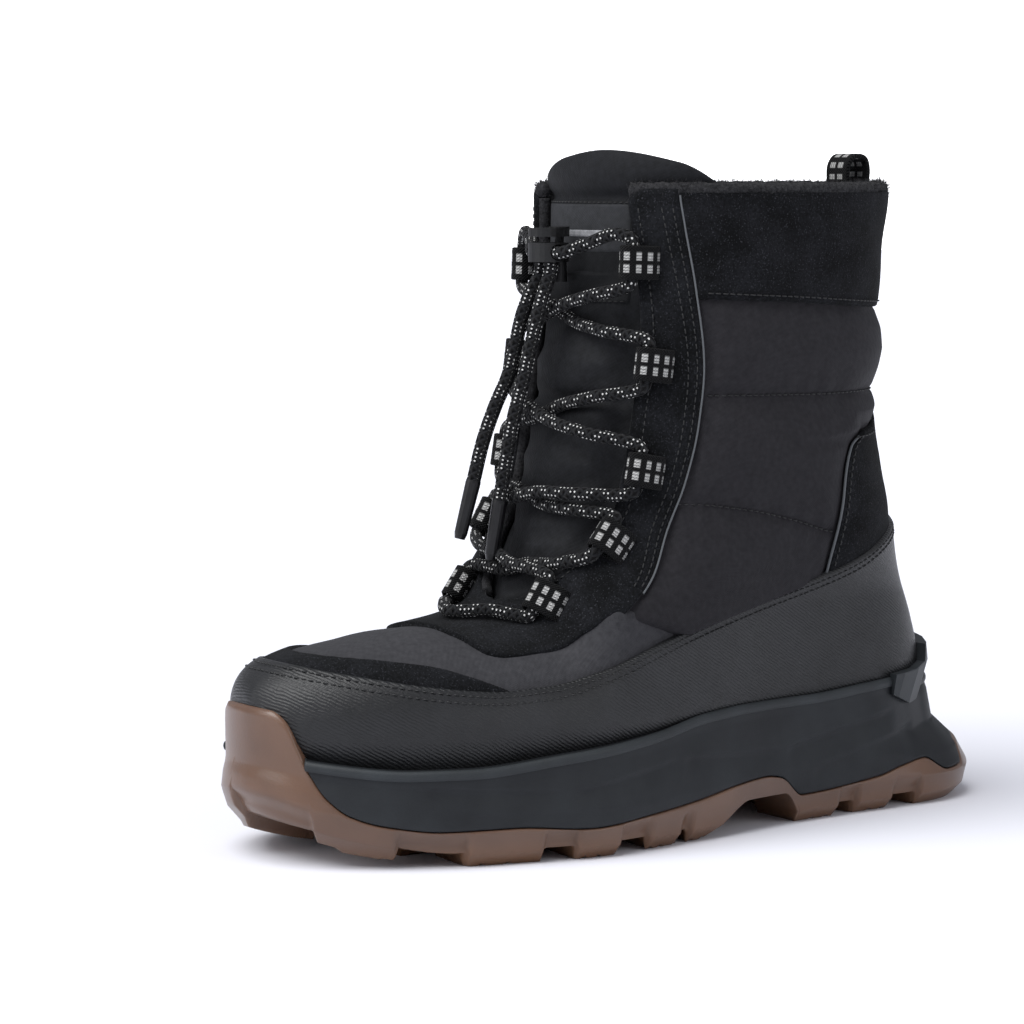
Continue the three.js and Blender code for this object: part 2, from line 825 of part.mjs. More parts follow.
function ovalPlate(long, wide, from, to, y = 0) {
  const shape = new THREE.Shape();
  shape.absellipse(0, 0, wide, long, 0, 2 * Math.PI, false);
  const plate = new THREE.ExtrudeGeometry(shape, { depth: to - from, bevelEnabled: false, curveSegments: 12 });
  plate.translate(LOCK.x, LOCK.y + y, from);
  return solidOf(plate);
}
function post(radius, from, to, x = 0, y = POST_Y, end = radius) {
  const bar = new THREE.CylinderGeometry(end, radius, to - from, 20);
  bar.rotateX(Math.PI / 2);
  bar.translate(LOCK.x + x, LOCK.y + y, (from + to) / 2);
  return solidOf(bar);
}

function lockBody() {
  const across = new THREE.CylinderGeometry(LACE_D / 2 + 0.35, LACE_D / 2 + 0.35, 30, 16);
  across.rotateZ(Math.PI / 2);
  across.translate(LOCK.x, LOCK.y + EXIT_Y, STRAND_Z);
  const hole = (sign) => post(LACE_D / 2 + 0.35, LOCK.bottom - 1, STRAND_Z, sign * EXIT_X, EXIT_Y);
  return ovalPlate(LOCK.long, LOCK.wide, LOCK.bottom, LOCK.top)
    .add(post(2.5, LOCK.bottom - 7, LOCK.bottom + 1, 0.5, POST_Y, 2.2))
    .add(post(1.6, LOCK.top - 0.5, LOCK.top + 2.4, 0, POST_Y))
    .subtract(solidOf(across))
    .subtract(hole(1))
    .subtract(hole(-1));
}
function lockButton() {
  const low = LOCK.top + LOCK_TRAVEL + 0.3;
  return ovalPlate(7, 5.2, low, low + 3, -0.6)
    .add(post(3.6, low, low + 3.4))
    .subtract(post(1.95, low - 1, low + 2.4));
}

// Strands from the top loops into the sides of the lock.
function topStrand(side) {
  const sign = side === "lateral" ? 1 : -1;
  const from = loopExit(side, 1, 1);
  const mouth = new THREE.Vector3(LOCK.x + sign * 3.4, LOCK.y + EXIT_Y, STRAND_Z);
  const route = [
    from.end,
    above(sign * 25, 209.5, 4.2),
    above(sign * 15.5, 206, 4.4),
    mouth.clone().setX(LOCK.x + sign * (LOCK.wide + 2)),
    mouth,
  ];
  return clearOfLoops(solidOf(cordGeometry(route, 14)));
}

// ---------------------------------------------------------------- free ends of the lace
const AGLET_LENGTH = 21;
const CORD_ENDS = {
  a: [
    [LOCK.x - EXIT_X, LOCK.y + EXIT_Y, 199.4],
    [-3.6, -32.2, 195],
    [-5.2, -35, 189],
    [-7, -37.4, 181],
    [-8, -39.2, 172],
    [-9, -42, 160],
    [-10.5, -46.2, 150],
    [-12, -50.5, 137.5],
    [-13, -53.8, 124],
  ],
  b: [
    [LOCK.x + EXIT_X, LOCK.y + EXIT_Y, 199.4],
    [2.4, -32.4, 195],
    [1.8, -35, 187.5],
    [1, -37.4, 177.5],
    [0.3, -39.6, 168],
    [-0.4, -41.6, 158.5],
    [-1.6, -45, 145],
    [-2.8, -47.2, 131],
    [-3.6, -49.2, 117.5],
  ],
};
const cordRoute = (name) => CORD_ENDS[name].map((p) => new THREE.Vector3(...p));

function agletGeometry(name) {
  const route = cordRoute(name);
  const end = route[route.length - 1];
  const way = end.clone().sub(route[route.length - 2]).normalize();
  const profile = [
    [0, 0],
    [2.6, 0],
    [2.7, 1],
    [2.3, AGLET_LENGTH - 2],
    [1.8, AGLET_LENGTH],
    [0, AGLET_LENGTH],
  ].map(([r, h]) => new THREE.Vector2(r, h));
  const tip = new THREE.LatheGeometry(profile, 16);
  tip.applyQuaternion(new THREE.Quaternion().setFromUnitVectors(new THREE.Vector3(0, 1, 0), way));
  tip.translate(...end.addScaledVector(way, GAP).toArray());
  return tip;
}

// ---------------------------------------------------------------- pull loop
const PULL = { width: 12, thick: 1.6 };
// Middle line of the strap over the collar: how far back and how high.
const PULL_LINE = rows(
  ["back", "up"],
  [
    [-4.6, -6],
    [-4.6, 0],
    [-4.9, 6],
    [-4.6, 11],
    [-2.4, 14],
    [0.6, 14.6],
    [3.6, 13.4],
    [4.8, 9.6],
    [4.2, 4],
    [3.4, 0],
    [3.4, -6],
  ],
);
function pullLoop() {
  const mid = surface(COLLAR, Math.PI);
  const line = new THREE.SplineCurve(PULL_LINE.map((row) => new THREE.Vector2(row.back, row.up)));
  const side = (sign) =>
    Array.from({ length: 29 }, (_, k) => {
      const way = line.getTangent(k / 28);
      return line.getPoint(k / 28).add(new THREE.Vector2(-way.y, way.x).multiplyScalar((sign * PULL.thick) / 2));
    });
  const shape = new THREE.Shape();
  shape.setFromPoints([...side(1), ...side(-1).reverse()]);
  const strap = new THREE.ExtrudeGeometry(shape, { depth: PULL.width, bevelEnabled: false });
  strap.translate(0, 0, -PULL.width / 2);
  const turn = new THREE.Matrix4().makeBasis(
    new THREE.Vector3(0, 1, 0),
    new THREE.Vector3(0, 0, 1),
    new THREE.Vector3(1, 0, 0),
  );
  const shift = mid.y + GAP + PULL.thick / 2 - PULL_LINE[PULL_LINE.length - 1].back;
  strap.applyMatrix4(turn.setPosition(mid.x, shift, mid.z));
  return strap;
}

const group = new THREE.Group();
function add(name, geometry, color, roughness, metalness = 0) {
  const mesh = new THREE.Mesh(geometry, new THREE.MeshStandardMaterial({ color, roughness, metalness }));
  mesh.name = name;
  group.add(mesh);
}
add("outsole", geometryOf(outsoleSolid()), 0x6e5a50, 0.45);
add("midsole", geometryOf(midsoleSolid()), 0x2f3335, 0.6);
add("heel_clip", geometryOf(clipSolid()), 0x2a2c2e, 0.5);
add("upper", geometryOf(upperSolid()), 0x1c1c1f, 0.9);
add("rand", geometryOf(randSolid()), 0x2f3133, 0.5);
add("insole", geometryOf(insoleSolid()), 0x303030, 0.95);
add("tongue", geometryOf(tongueSolid()), 0x1b1c1f, 0.9);
LOOPS.forEach((row, k) => add(`lace_loop_${row.side}_${(k % 5) + 1}`, geometryOf(loopSolid(row)), 0x121212, 0.9));

for (const number of [1, 2, 3, 4]) add(`lace_cross_${number}`, geometryOf(crossSolid(number)), 0x202022, 0.9);
add("lace_bar_bottom", geometryOf(bottomBar()), 0x202022, 0.9);
add("lace_top_lateral", geometryOf(topStrand("lateral")), 0x202022, 0.9);
add("lace_top_medial", geometryOf(topStrand("medial")), 0x202022, 0.9);
for (const name of ["a", "b"]) {
  add(`lace_end_${name}`, cordGeometry(cordRoute(name), 30), 0x202022, 0.9);
  add(`aglet_${name}`, agletGeometry(name), 0x101012, 0.3);
}
add("lock_body", geometryOf(lockBody()), 0x17181a, 0.4);
add("lock_button", geometryOf(lockButton()), 0x17181a, 0.4);
add("pull_loop", pullLoop(), 0x121212, 0.9);

export default group;
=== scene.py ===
# %% [markdown]
# # A left winter boot
# This notebook makes the visible surfaces of a lace-up snow boot: a two-part lugged sole, a rubberised
# leather rand, a padded upper of quilted nylon and suede, a cloth tongue, webbing loops, a round braided
# lace and a moulded cord lock. The solid model is already placed in the frame. It gives the sizes, and
# the pieces made here take the place of its plain solids. Lengths are in millimetres until a mesh is made.

# %% Load the frame
import math

import bpy
import numpy as np
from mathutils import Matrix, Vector


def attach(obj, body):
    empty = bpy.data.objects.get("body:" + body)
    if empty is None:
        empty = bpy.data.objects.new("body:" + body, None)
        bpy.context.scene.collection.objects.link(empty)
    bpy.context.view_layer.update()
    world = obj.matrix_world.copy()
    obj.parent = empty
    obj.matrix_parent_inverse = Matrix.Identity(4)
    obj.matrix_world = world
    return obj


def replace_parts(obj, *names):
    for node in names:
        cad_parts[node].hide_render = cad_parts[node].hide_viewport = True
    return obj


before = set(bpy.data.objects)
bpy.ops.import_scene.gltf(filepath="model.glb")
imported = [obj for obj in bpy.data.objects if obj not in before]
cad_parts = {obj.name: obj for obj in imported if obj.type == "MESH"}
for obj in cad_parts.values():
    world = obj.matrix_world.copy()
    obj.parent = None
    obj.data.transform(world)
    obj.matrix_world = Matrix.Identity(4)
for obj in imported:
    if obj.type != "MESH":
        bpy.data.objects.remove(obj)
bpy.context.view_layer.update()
MM = 0.001
TURN = 2 * math.pi

# %% [markdown]
# ## Camera
# The boot is seen from its outer side and a little from the front, from just above sole height. A long
# lens, about 120 mm on a 36 mm sensor, keeps the sole nearly parallel to the floor.

# %% Camera
AZIMUTH = math.radians(55)
ELEVATION = math.radians(5.66)
CAMERA_DISTANCE = 1.2533
LENS, SENSOR = 123.046875, 36
AIM_ACROSS, AIM_UP = -0.0382, 0.1101

back = Vector((
    math.sin(AZIMUTH) * math.cos(ELEVATION),
    -math.cos(AZIMUTH) * math.cos(ELEVATION),
    math.sin(ELEVATION),
))
across = Vector((math.cos(AZIMUTH), math.sin(AZIMUTH), 0))
upward = back.cross(across)
camera = bpy.data.objects.new("camera", bpy.data.cameras.new("camera"))
camera.location = across * AIM_ACROSS + upward * AIM_UP + back * CAMERA_DISTANCE
camera.rotation_euler = back.to_track_quat("Z", "Y").to_euler()
camera.data.lens = LENS
camera.data.sensor_width = SENSOR
camera.data.clip_end = 50
bpy.context.scene.collection.objects.link(camera)
bpy.context.scene.camera = camera
print("camera stands at", [round(v, 3) for v in camera.location])

# %% [markdown]
# ## Making meshes and materials
# Three small helpers serve every piece. `mesh_piece` makes an object from points and faces and lets it
# ride on the boot. `node` adds one shader node with its settings and links. `paint` turns an sRGB hex
# colour to the linear numbers that a shader needs.

# %% Helpers for meshes
def mesh_piece(name, points, faces, material, uv=None):
    mesh = bpy.data.meshes.new(name)
    mesh.from_pydata((np.asarray(points, float) * MM).tolist(), [], [list(map(int, f)) for f in faces])
    mesh.validate()
    mesh.shade_smooth()
    if uv is not None:
        layer = mesh.uv_layers.new(name="cloth_mm")
        corner = np.empty(len(mesh.loops), dtype=np.int64)
        mesh.loops.foreach_get("vertex_index", corner)
        layer.data.foreach_set("uv", np.asarray(uv, float)[corner].ravel())
    piece = bpy.data.objects.new(name, mesh)
    bpy.context.scene.collection.objects.link(piece)
    piece.data.materials.append(material)
    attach(piece, "boot")
    return piece


def grid_faces(rows, columns, closed=False):
    last = columns if closed else columns - 1
    i, k = np.meshgrid(np.arange(rows - 1), np.arange(last), indexing="ij")
    k2 = (k + 1) % columns
    quads = np.stack([i * columns + k, i * columns + k2, (i + 1) * columns + k2, (i + 1) * columns + k], -1)
    return quads.reshape(-1, 4)


def unit(vectors):
    return vectors / np.linalg.norm(vectors, axis=-1, keepdims=True)


def run_along(points):
    """Distance along a line from its first point to each of its points."""
    return np.concatenate([[0], np.cumsum(np.linalg.norm(np.diff(points, axis=0), axis=1))])


def refinish(name, finish):
    """Give a solid of the frame a new material."""
    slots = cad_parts[name].data.materials
    slots.clear()
    slots.append(finish)


# %% Helpers for materials
def paint(code):
    """sRGB hex colour as linear RGBA."""
    value = [int(code[k : k + 2], 16) / 255 for k in (1, 3, 5)]
    return (*[c / 12.92 if c <= 0.04045 else ((c + 0.055) / 1.055) ** 2.4 for c in value], 1.0)


def node(tree, kind, links=None, **settings):
    """One shader node: settings by attribute or by input number, links as {input: socket}."""
    made = tree.nodes.new("ShaderNode" + kind)
    for key, value in settings.items():
        if key.startswith("in_"):
            made.inputs[int(key[3:])].default_value = value
        else:
            setattr(made, key, value)
    for key, socket in (links or {}).items():
        tree.links.new(socket, made.inputs[key])
    return made


def material(name, roughness, specular=0.5, ior=1.5, sheen=0.0, sheen_roughness=0.5, coat=0.0):
    """A new material with one principled shader; returns it with its tree and shader."""
    made = bpy.data.materials.new(name)
    made.use_nodes = True
    shader = made.node_tree.nodes["Principled BSDF"]
    for socket, value in {
        "Roughness": roughness, "Specular IOR Level": specular, "IOR": ior, "Sheen Weight": sheen,
        "Sheen Roughness": sheen_roughness, "Coat Weight": coat,
    }.items():
        shader.inputs[socket].default_value = value
    return made, made.node_tree, shader


def ramp_mix(tree, amount, dark, light, low=0.35, high=0.65):
    """Colour between two hex values as `amount` goes from low to high."""
    ramp = node(tree, "ValToRGB", {"Fac": amount})
    ramp.color_ramp.elements[0].position, ramp.color_ramp.elements[1].position = low, high
    ramp.color_ramp.elements[0].color, ramp.color_ramp.elements[1].color = paint(dark), paint(light)
    return ramp.outputs["Color"]


def bump(tree, shader, height, distance_mm, strength=1.0):
    """Fine relief of a few tenths of a millimetre; chains on to a relief that is there already."""
    made = node(tree, "Bump", {"Height": height})
    made.inputs["Distance"].default_value = distance_mm * MM
    made.inputs["Strength"].default_value = strength
    old = shader.inputs["Normal"].links
    if old:
        tree.links.new(old[0].from_socket, made.inputs["Normal"])
    tree.links.new(made.outputs["Normal"], shader.inputs["Normal"])


def position_mm(tree):
    """The point's own place in millimetres, the same in every view."""
    place = node(tree, "TexCoord").outputs["Object"]
    return node(tree, "VectorMath", {0: place}, operation="SCALE", in_3=1 / MM).outputs[0]


def noise(tree, vector, size_mm, detail=2.0, roughness=0.5):
    """Noise whose lumps are about `size_mm` across."""
    made = node(tree, "TexNoise", {"Vector": vector})
    made.inputs["Scale"].default_value = 1 / size_mm
    made.inputs["Detail"].default_value = detail
    made.inputs["Roughness"].default_value = roughness
    return made.outputs["Fac"]


def cloth_axes(tree):
    """The cloth's own coordinates in millimetres: along it and across it."""
    uv = node(tree, "UVMap", uv_map="cloth_mm").outputs[0]
    return node(tree, "SeparateXYZ", {0: uv}).outputs


def wave(tree, distance, pitch_mm):
    """A sine along a distance, one wave for each `pitch_mm`."""
    run = node(tree, "Math", {0: distance}, operation="MULTIPLY", in_1=TURN / pitch_mm)
    return node(tree, "Math", {0: run.outputs[0]}, operation="SINE").outputs[0]


def colour_with(tree, shader, amount, colour, mark):
    """Base colour: `colour`, and the hex colour `mark` where `amount` is 1."""
    mixed = node(tree, "Mix", {0: amount, 6: colour}, data_type="RGBA")
    mixed.inputs[7].default_value = paint(mark)
    tree.links.new(mixed.outputs[2], shader.inputs["Base Color"])


print("helpers ready")

# %% [markdown]
# ## The braided lace
# The lace is a round polyester braid, 5 mm thick. Two plaits of yarn cross on its surface and pairs of
# white yarns show as small flecks along it. The braid is drawn with two sets of waves that run round the
# cord in opposite ways, so the relief and the flecks keep their real size of about 1.5 mm a stitch.

# %% Braid material
LACE_D = 5.0
WAVES_ROUND, BRAID_WAVE, FLECK_RUN = 4, 2.9, 11.6


def braid_material():
    made, tree, shader = material("braided_polyester", roughness=0.85, specular=0.15, sheen=0.05)
    run_mm, share_round, _ = cloth_axes(tree)
    waves = []
    for way in (1, -1):
        turn = node(tree, "Math", {0: share_round}, operation="MULTIPLY", in_1=way * TURN * WAVES_ROUND)
        run = node(tree, "Math", {0: run_mm}, operation="MULTIPLY", in_1=TURN / BRAID_WAVE)
        total = node(tree, "Math", {0: turn.outputs[0], 1: run.outputs[0]}, operation="ADD")
        waves.append(node(tree, "Math", {0: total.outputs[0]}, operation="SINE").outputs[0])
    yarns = node(tree, "Math", {0: waves[0], 1: waves[1]}, operation="MAXIMUM").outputs[0]
    bump(tree, shader, yarns, 0.5)
    crossing = node(tree, "Math", {0: waves[0], 1: waves[1]}, operation="MULTIPLY").outputs[0]
    marked = []
    for way in (1, -1):
        turn = node(tree, "Math", {0: share_round}, operation="MULTIPLY", in_1=way)
        turned = turn.outputs[0]
        helix = node(tree, "Math", {0: run_mm, 2: turned}, operation="MULTIPLY_ADD", in_1=1 / FLECK_RUN)
        share = node(tree, "Math", {0: helix.outputs[0]}, operation="FRACT")
        marked.append(node(tree, "Math", {0: share.outputs[0]}, operation="LESS_THAN", in_1=0.25).outputs[0])
    either = node(tree, "Math", {0: marked[0], 1: marked[1]}, operation="MAXIMUM").outputs[0]
    spots = node(tree, "Math", {0: crossing, 1: either}, operation="MULTIPLY").outputs[0]
    # The colour follows the yarn relief, near black in the grooves: painted shade between the yarns.
    colour = ramp_mix(tree, yarns, "#060607", "#1b1c1e", 0.1, 0.9)
    white = node(tree, "MapRange", {0: spots}, in_1=0.58, in_2=0.68)
    colour_with(tree, shader, white.outputs[0], colour, "#c4c4c2")
    return made


BRAID = braid_material()
print("lace", LACE_D, "mm thick")

# %% Tube along a route
ACROSS_START = (0.3, 1.0, 0.2)


def smooth_route(points, step=1.0):
    """A centripetal spline through the points, as equally spaced points."""
    p = np.asarray(points, float)
    p = np.vstack([2 * p[0] - p[1], p, 2 * p[-1] - p[-2]])
    out = []
    for a, b, c, d in zip(p, p[1:], p[2:], p[3:]):
        t = np.cumsum([0] + [max(np.linalg.norm(v - u) ** 0.5, 1e-6) for u, v in ((a, b), (b, c), (c, d))])
        s = np.linspace(t[1], t[2], 24, endpoint=False)[:, None]
        mix = lambda u, v, i, j: (t[j] - s) / (t[j] - t[i]) * u + (s - t[i]) / (t[j] - t[i]) * v
        ab, bc, cd = mix(a, b, 0, 1), mix(b, c, 1, 2), mix(c, d, 2, 3)
        out.append(mix(mix(ab, bc, 0, 2), mix(bc, cd, 1, 3), 1, 2))
    out = np.vstack([*out, p[-2]])
    run = run_along(out)
    n = max(int(run[-1] / step), 3)
    return np.stack([np.interp(np.linspace(0, run[-1], n + 1), run, out[:, k]) for k in range(3)], 1)


def tube_mesh(route, radius, sides):
    """Points, faces and cloth coordinates of a round tube with closed ends."""
    way = unit(np.gradient(route, axis=0))
    side = np.zeros_like(route)
    side[0] = unit(np.cross(way[0], ACROSS_START))
    for k in range(1, len(route)):
        side[k] = unit(side[k - 1] - way[k] * np.dot(side[k - 1], way[k]))
    third = np.cross(way, side)
    turn = np.linspace(0, TURN, sides, endpoint=False)
    ring = np.cos(turn)[None, :, None] * side[:, None] + np.sin(turn)[None, :, None] * third[:, None]
    points = (route[:, None] + ring * radius).reshape(-1, 3)
    uv = np.stack(np.broadcast_arrays(run_along(route)[:, None], turn[None, :] / TURN), -1).reshape(-1, 2)
    faces = [list(f)[::-1] for f in grid_faces(len(route), sides, closed=True)]
    n = len(points)
    points = np.vstack([points, route[0], route[-1]])
    uv = np.vstack([uv, uv[0], uv[-1]])
    for k in range(sides):
        k2 = (k + 1) % sides
        faces.append([n, k, k2])
        faces.append([n + 1, n - sides + k2, n - sides + k])
    return points, faces, uv


def tube_piece(name, route, radius, sides, material):
    points, faces, uv = tube_mesh(route, radius, sides)
    return mesh_piece(name, points, faces, material, uv)


# %% [markdown]
# ## The free ends of the lace
# Below the cord lock two ends of the lace hang down over the tongue and the crossings, about 8 cm each,
# and each ends in a moulded tip 21 mm long. They are free cords, so their routes are the solid model's.

# %% Lace ends
LOCK_X, LOCK_Y = -0.5, -30.8
LACE_ENDS = {
    "a": [
        (LOCK_X - 2.95, LOCK_Y - 0.6, 199.4), (-3.6, -32.2, 195), (-5.2, -35, 189), (-7, -37.4, 181),
        (-8, -39.2, 172), (-9, -42, 160), (-10.5, -46.2, 150), (-12, -50.5, 137.5), (-13, -53.8, 124),
    ],
    "b": [
        (LOCK_X + 2.95, LOCK_Y - 0.6, 199.4), (2.4, -32.4, 195), (1.8, -35, 187.5), (1, -37.4, 177.5),
        (0.3, -39.6, 168), (-0.4, -41.6, 158.5), (-1.6, -45, 145), (-2.8, -47.2, 131), (-3.6, -49.2, 117.5),
    ],
}
for letter, points in LACE_ENDS.items():
    route = smooth_route(points)
    into_tip = route[-1] + (route[-1] - route[-2]) * 1.2
    drawn = np.concatenate([route, into_tip[None]])
    end = tube_piece(f"lace_end_{letter}_braid", drawn, LACE_D / 2, 20, BRAID)
    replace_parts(end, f"lace_end_{letter}")

# %% [markdown]
# ## The last: one function for the whole upper
# A shoemaker pulls every part of the upper over a last. Here the last is a function. Its first number
# runs up the boot from the feather edge, its second runs round it from the toe over the outer side to
# the heel and back. A few tables give the front and back line and the half widths, and every panel,
# seam and stitch is laid on the same surface, so they all fit each other.

# %% Curves through short tables
def table(names, rows):
    return {name: np.array(column, float) for name, column in zip(names.split(), zip(*rows))}


def along(rows, by, key, x):
    """Monotone smooth curve through a table's rows."""
    px, py = rows[by], rows[key]
    x = np.clip(np.asarray(x, float), px[0], px[-1])
    step = np.diff(px)
    rise = np.diff(py) / step
    slope = np.zeros(len(px))
    both = rise[:-1] * rise[1:]
    with np.errstate(divide="ignore", invalid="ignore"):
        slope[1:-1] = np.where(both > 0, 2 * both / (rise[:-1] + rise[1:]), 0)
    i = np.clip(np.searchsorted(px, x) - 1, 0, len(px) - 2)
    t, h = (x - px[i]) / step[i], step[i]
    return (
        (2 * t**3 - 3 * t**2 + 1) * py[i] + (t**3 - 2 * t**2 + t) * h * slope[i]
        + (3 * t**2 - 2 * t**3) * py[i + 1] + (t**3 - t**2) * h * slope[i + 1]
    )


def ease(low, high, x):
    t = np.clip((np.asarray(x, float) - low) / (high - low), 0, 1)
    return t * t * (3 - 2 * t)


def lerp(a, b, t):
    return a + (b - a) * t


def cap(t, n, m):
    """Round end: 0 at the tip, 1 at full width."""
    t = np.clip(t, 0, 1)
    return (1 - (1 - t) ** n) ** (1 / m)


# %% Tables of the last
LINES = table("v frontY frontZ backY backZ sag", [
    (0, -138, 28, 123, 38, 5), (1, -145.5, 44, 127, 52, 4), (2, -146.5, 55, 123.5, 67, 4),
    (3, -139.5, 64.5, 119, 80, 4.5), (4, -122, 70, 115, 92, 4.5), (5, -98, 73.5, 111.5, 104, 5),
    (6, -74, 76.5, 108, 115, 5.5), (7, -55, 81.5, 105.5, 125, 4), (8, -45.5, 95, 103.5, 137, 2.5),
    (9, -38.5, 118, 102.5, 152, 1.5), (10, -32.5, 145, 102.5, 168, 0.5), (11, -28, 171, 103.5, 186, 0),
    (12, -25, 197, 105, 205, 0), (13, -24, 222, 107, 222, 0), (14, -24, 242, 109, 242, 0),
])
FOOT = table("y lateral medial", [
    (-75, 47, 49.5), (-40, 51.5, 47.5), (0, 47.5, 41), (45, 40, 36.5), (95, 37.5, 36.5), (140, 37, 36),
])
SHAFT = table("z lateral medial", [
    (85, 49, 45), (110, 48, 45), (145, 49, 47), (200, 51, 49), (225, 52, 50), (245, 53, 51),
])
THROAT = table("z lateral medial", [
    (82.5, 0, 0), (84, 10, 10), (88, 18, 17), (96, 26, 22), (106, 31, 25), (116, 32.5, 26),
    (140, 33, 27), (170, 33, 28), (200, 30, 28), (225, 27, 27), (262, 27, 27),
])
COLLAR = 13
WALL = 4.6
TOE_Y, HEEL_Y, TOE_SHIFT, WIDEST_Z = -151.5, 151.5, -9, 48
fine = np.arange(141) / 10
FRONT = {"y": along(LINES, "v", "frontY", fine), "z": along(LINES, "v", "frontZ", fine)}
ROOF = {key: value[20:91] for key, value in FRONT.items()}
NOSE = {key: value[:3] for key, value in LINES.items()}
print("the last runs from y", LINES["frontY"].min(), "to", LINES["backY"].max())


# %% The last's surface
def centre_x(y):
    return TOE_SHIFT * (1 - ease(TOE_Y, -30, y)) ** 1.5


def half_width(y, z, lateral):
    back_y = along(LINES, "backZ", "backY", z)
    heel = cap((back_y - y) / lerp(48, 62, ease(60, 130, z)), 2.3, 2)
    tip = along(NOSE, "frontZ", "frontY", z)
    ball = np.where(lateral, -38, -72)
    toe = cap((y - tip) / (ball - tip), 2.5, 2)
    roof_z = np.where(y > -38.5, 118 + (y + 38.5) * 6, along(ROOF, "y", "z", y))
    rise = np.clip((z - WIDEST_Z) / np.maximum(roof_z - WIDEST_Z, 1), 0, 1)
    roof = (1 - rise**2.3) ** (1 / 2.1)

    def side(rows, by, at):
        return np.where(lateral, along(rows, by, "lateral", at), along(rows, by, "medial", at))

    foot = side(FOOT, "y", y) * toe * roof * (0.9 + 0.1 * ease(26, WIDEST_Z, z)) * heel
    shaft = side(SHAFT, "z", z) * cap((y - along(FRONT, "z", "y", z)) / 62, 2.6, 2.1) * heel
    return lerp(foot, shaft, ease(78, 118, z))


def surface(v, a):
    """Points of the last for arrays v and a."""
    v, a = np.broadcast_arrays(np.asarray(v, float), np.asarray(a, float))
    s = (1 - np.cos(a)) / 2
    at = {key: along(LINES, "v", key, v) for key in LINES if key != "v"}
    y = lerp(at["frontY"], at["backY"], s)
    z = lerp(at["frontZ"], at["backZ"], s) - at["sag"] * 4 * s * (1 - s)
    lateral = np.sin(a) >= 0
    half = np.where(np.abs(np.sin(a)) < 1e-9, 0, half_width(y, z, lateral))
    return np.stack([centre_x(y) + np.where(lateral, half, -half), y, z], -1)


def normals(v, a, level=False):
    up = surface(np.clip(v + 0.08, 0, 14), a) - surface(np.clip(v - 0.08, 0, 14), a)
    around = surface(v, a + 0.06) - surface(v, a - 0.06)
    n = np.cross(around, up)
    if level:
        n[..., 2] = 0
    return n / np.maximum(np.linalg.norm(n, axis=-1, keepdims=True), 1e-9)


def on_last(v, a, lift, level=False):
    return surface(v, a) + normals(v, a, level) * np.asarray(lift, float)[..., None]


def level_of(height, a):
    """The v at which the last reaches the height that `height(y)` gives."""
    low, high = np.zeros(np.shape(a)), np.full(np.shape(a), 7.0)
    for _ in range(26):
        mid = (low + high) / 2
        p = surface(mid, a)
        below = p[..., 2] < height(p[..., 1])
        low, high = np.where(below, mid, low), np.where(below, high, mid)
    return low


print("widest at the ball", round(float(surface(1.5, 1.1)[0]), 1), "mm to the outer side")

# %% [markdown]
# ## Cutting panels
# A pattern cutter draws each panel on paper and cuts it out. Here a panel is a patch of a fine grid on
# the last. A signed distance says how far each point is inside the panel's outline, in millimetres. Grid
# points just outside are pulled on to the outline, so the cut edge is smooth, and the surface rounds
# down over its last half millimetre like cut and skived leather.

# %% Panel cutter
EVENNESS = 0.65
EDGE_ROUND = 0.8
EDGE_DROP = 0.18


def around_even(columns):
    """Angles round the boot, denser at the toe and heel where the last turns."""
    t = np.linspace(0, TURN, columns, endpoint=False)
    probe_a = np.linspace(0, TURN, 2001)
    run = run_along(surface(2.5, probe_a))
    even = np.interp(t / TURN * run[-1], run, probe_a)
    return lerp(t, even, EVENNESS)


def cloth_coordinates(points):
    """Distances along the grid's columns and rows, in mm."""
    du = np.linalg.norm(np.diff(points, axis=1), axis=2)
    u = np.concatenate([np.zeros((len(points), 1)), np.cumsum(du, axis=1)], axis=1)
    dv = np.linalg.norm(np.diff(points, axis=0), axis=2)
    v = np.concatenate([np.zeros((1, points.shape[1])), np.cumsum(dv, axis=0)], axis=0)
    return np.stack([u - u.mean(axis=1, keepdims=True), v], -1)


def cut_panel(name, v, a, inside, lift, thick, material, relief=0.0):
    """A panel on the grid v, a where `inside` (mm, same shape) is positive."""
    base, n = surface(v, a), normals(v, a)
    rows, columns = inside.shape
    keep = inside > 0
    spot, normal, depth = base.copy(), n.copy(), np.maximum(inside, 0)
    weight = np.zeros(inside.shape)
    shift, turned = np.zeros_like(base), np.zeros_like(base)
    for dr, dc in ((0, 1), (0, -1), (1, 0), (-1, 0), (1, 1), (1, -1), (-1, 1), (-1, -1)):
        r0, r1 = max(0, -dr), rows - max(0, dr)
        c0, c1 = max(0, -dc), columns - max(0, dc)
        here = (slice(r0, r1), slice(c0, c1))
        there = (slice(r0 + dr, r1 + dr), slice(c0 + dc, c1 + dc))
        use = (~keep[here]) & keep[there]
        t = np.clip(inside[there] / np.maximum(inside[there] - inside[here], 1e-9), 0, 1)[..., None]
        w = use * np.where(dr and dc, 0.3, 1.0)
        shift[here] += w[..., None] * lerp(base[there], base[here], t)
        turned[here] += w[..., None] * n[there]
        weight[here] += w
    snapped = weight > 0
    spot[snapped] = shift[snapped] / weight[snapped][:, None]
    normal[snapped] = unit(turned[snapped])
    height = lift + thick * np.sqrt(np.clip(1 - (1 - np.clip(depth / EDGE_ROUND, 0, 1)) ** 2, 0, 1))
    height = height + relief * ease(0, 2.5, depth)
    height = np.where(snapped, lift - EDGE_DROP, height)
    quads = grid_faces(rows, columns)
    quads = quads[keep.ravel()[quads].any(1) & (keep | snapped).ravel()[quads].all(1)]
    top = (spot + normal * height[..., None]).reshape(-1, 3)
    used, index = np.unique(quads, return_inverse=True)
    uv = cloth_coordinates(base).reshape(-1, 2)
    print(f"{name}: {len(quads)} quads")
    return mesh_piece(name, top[used], index.reshape(-1, 4), material, uv[used])


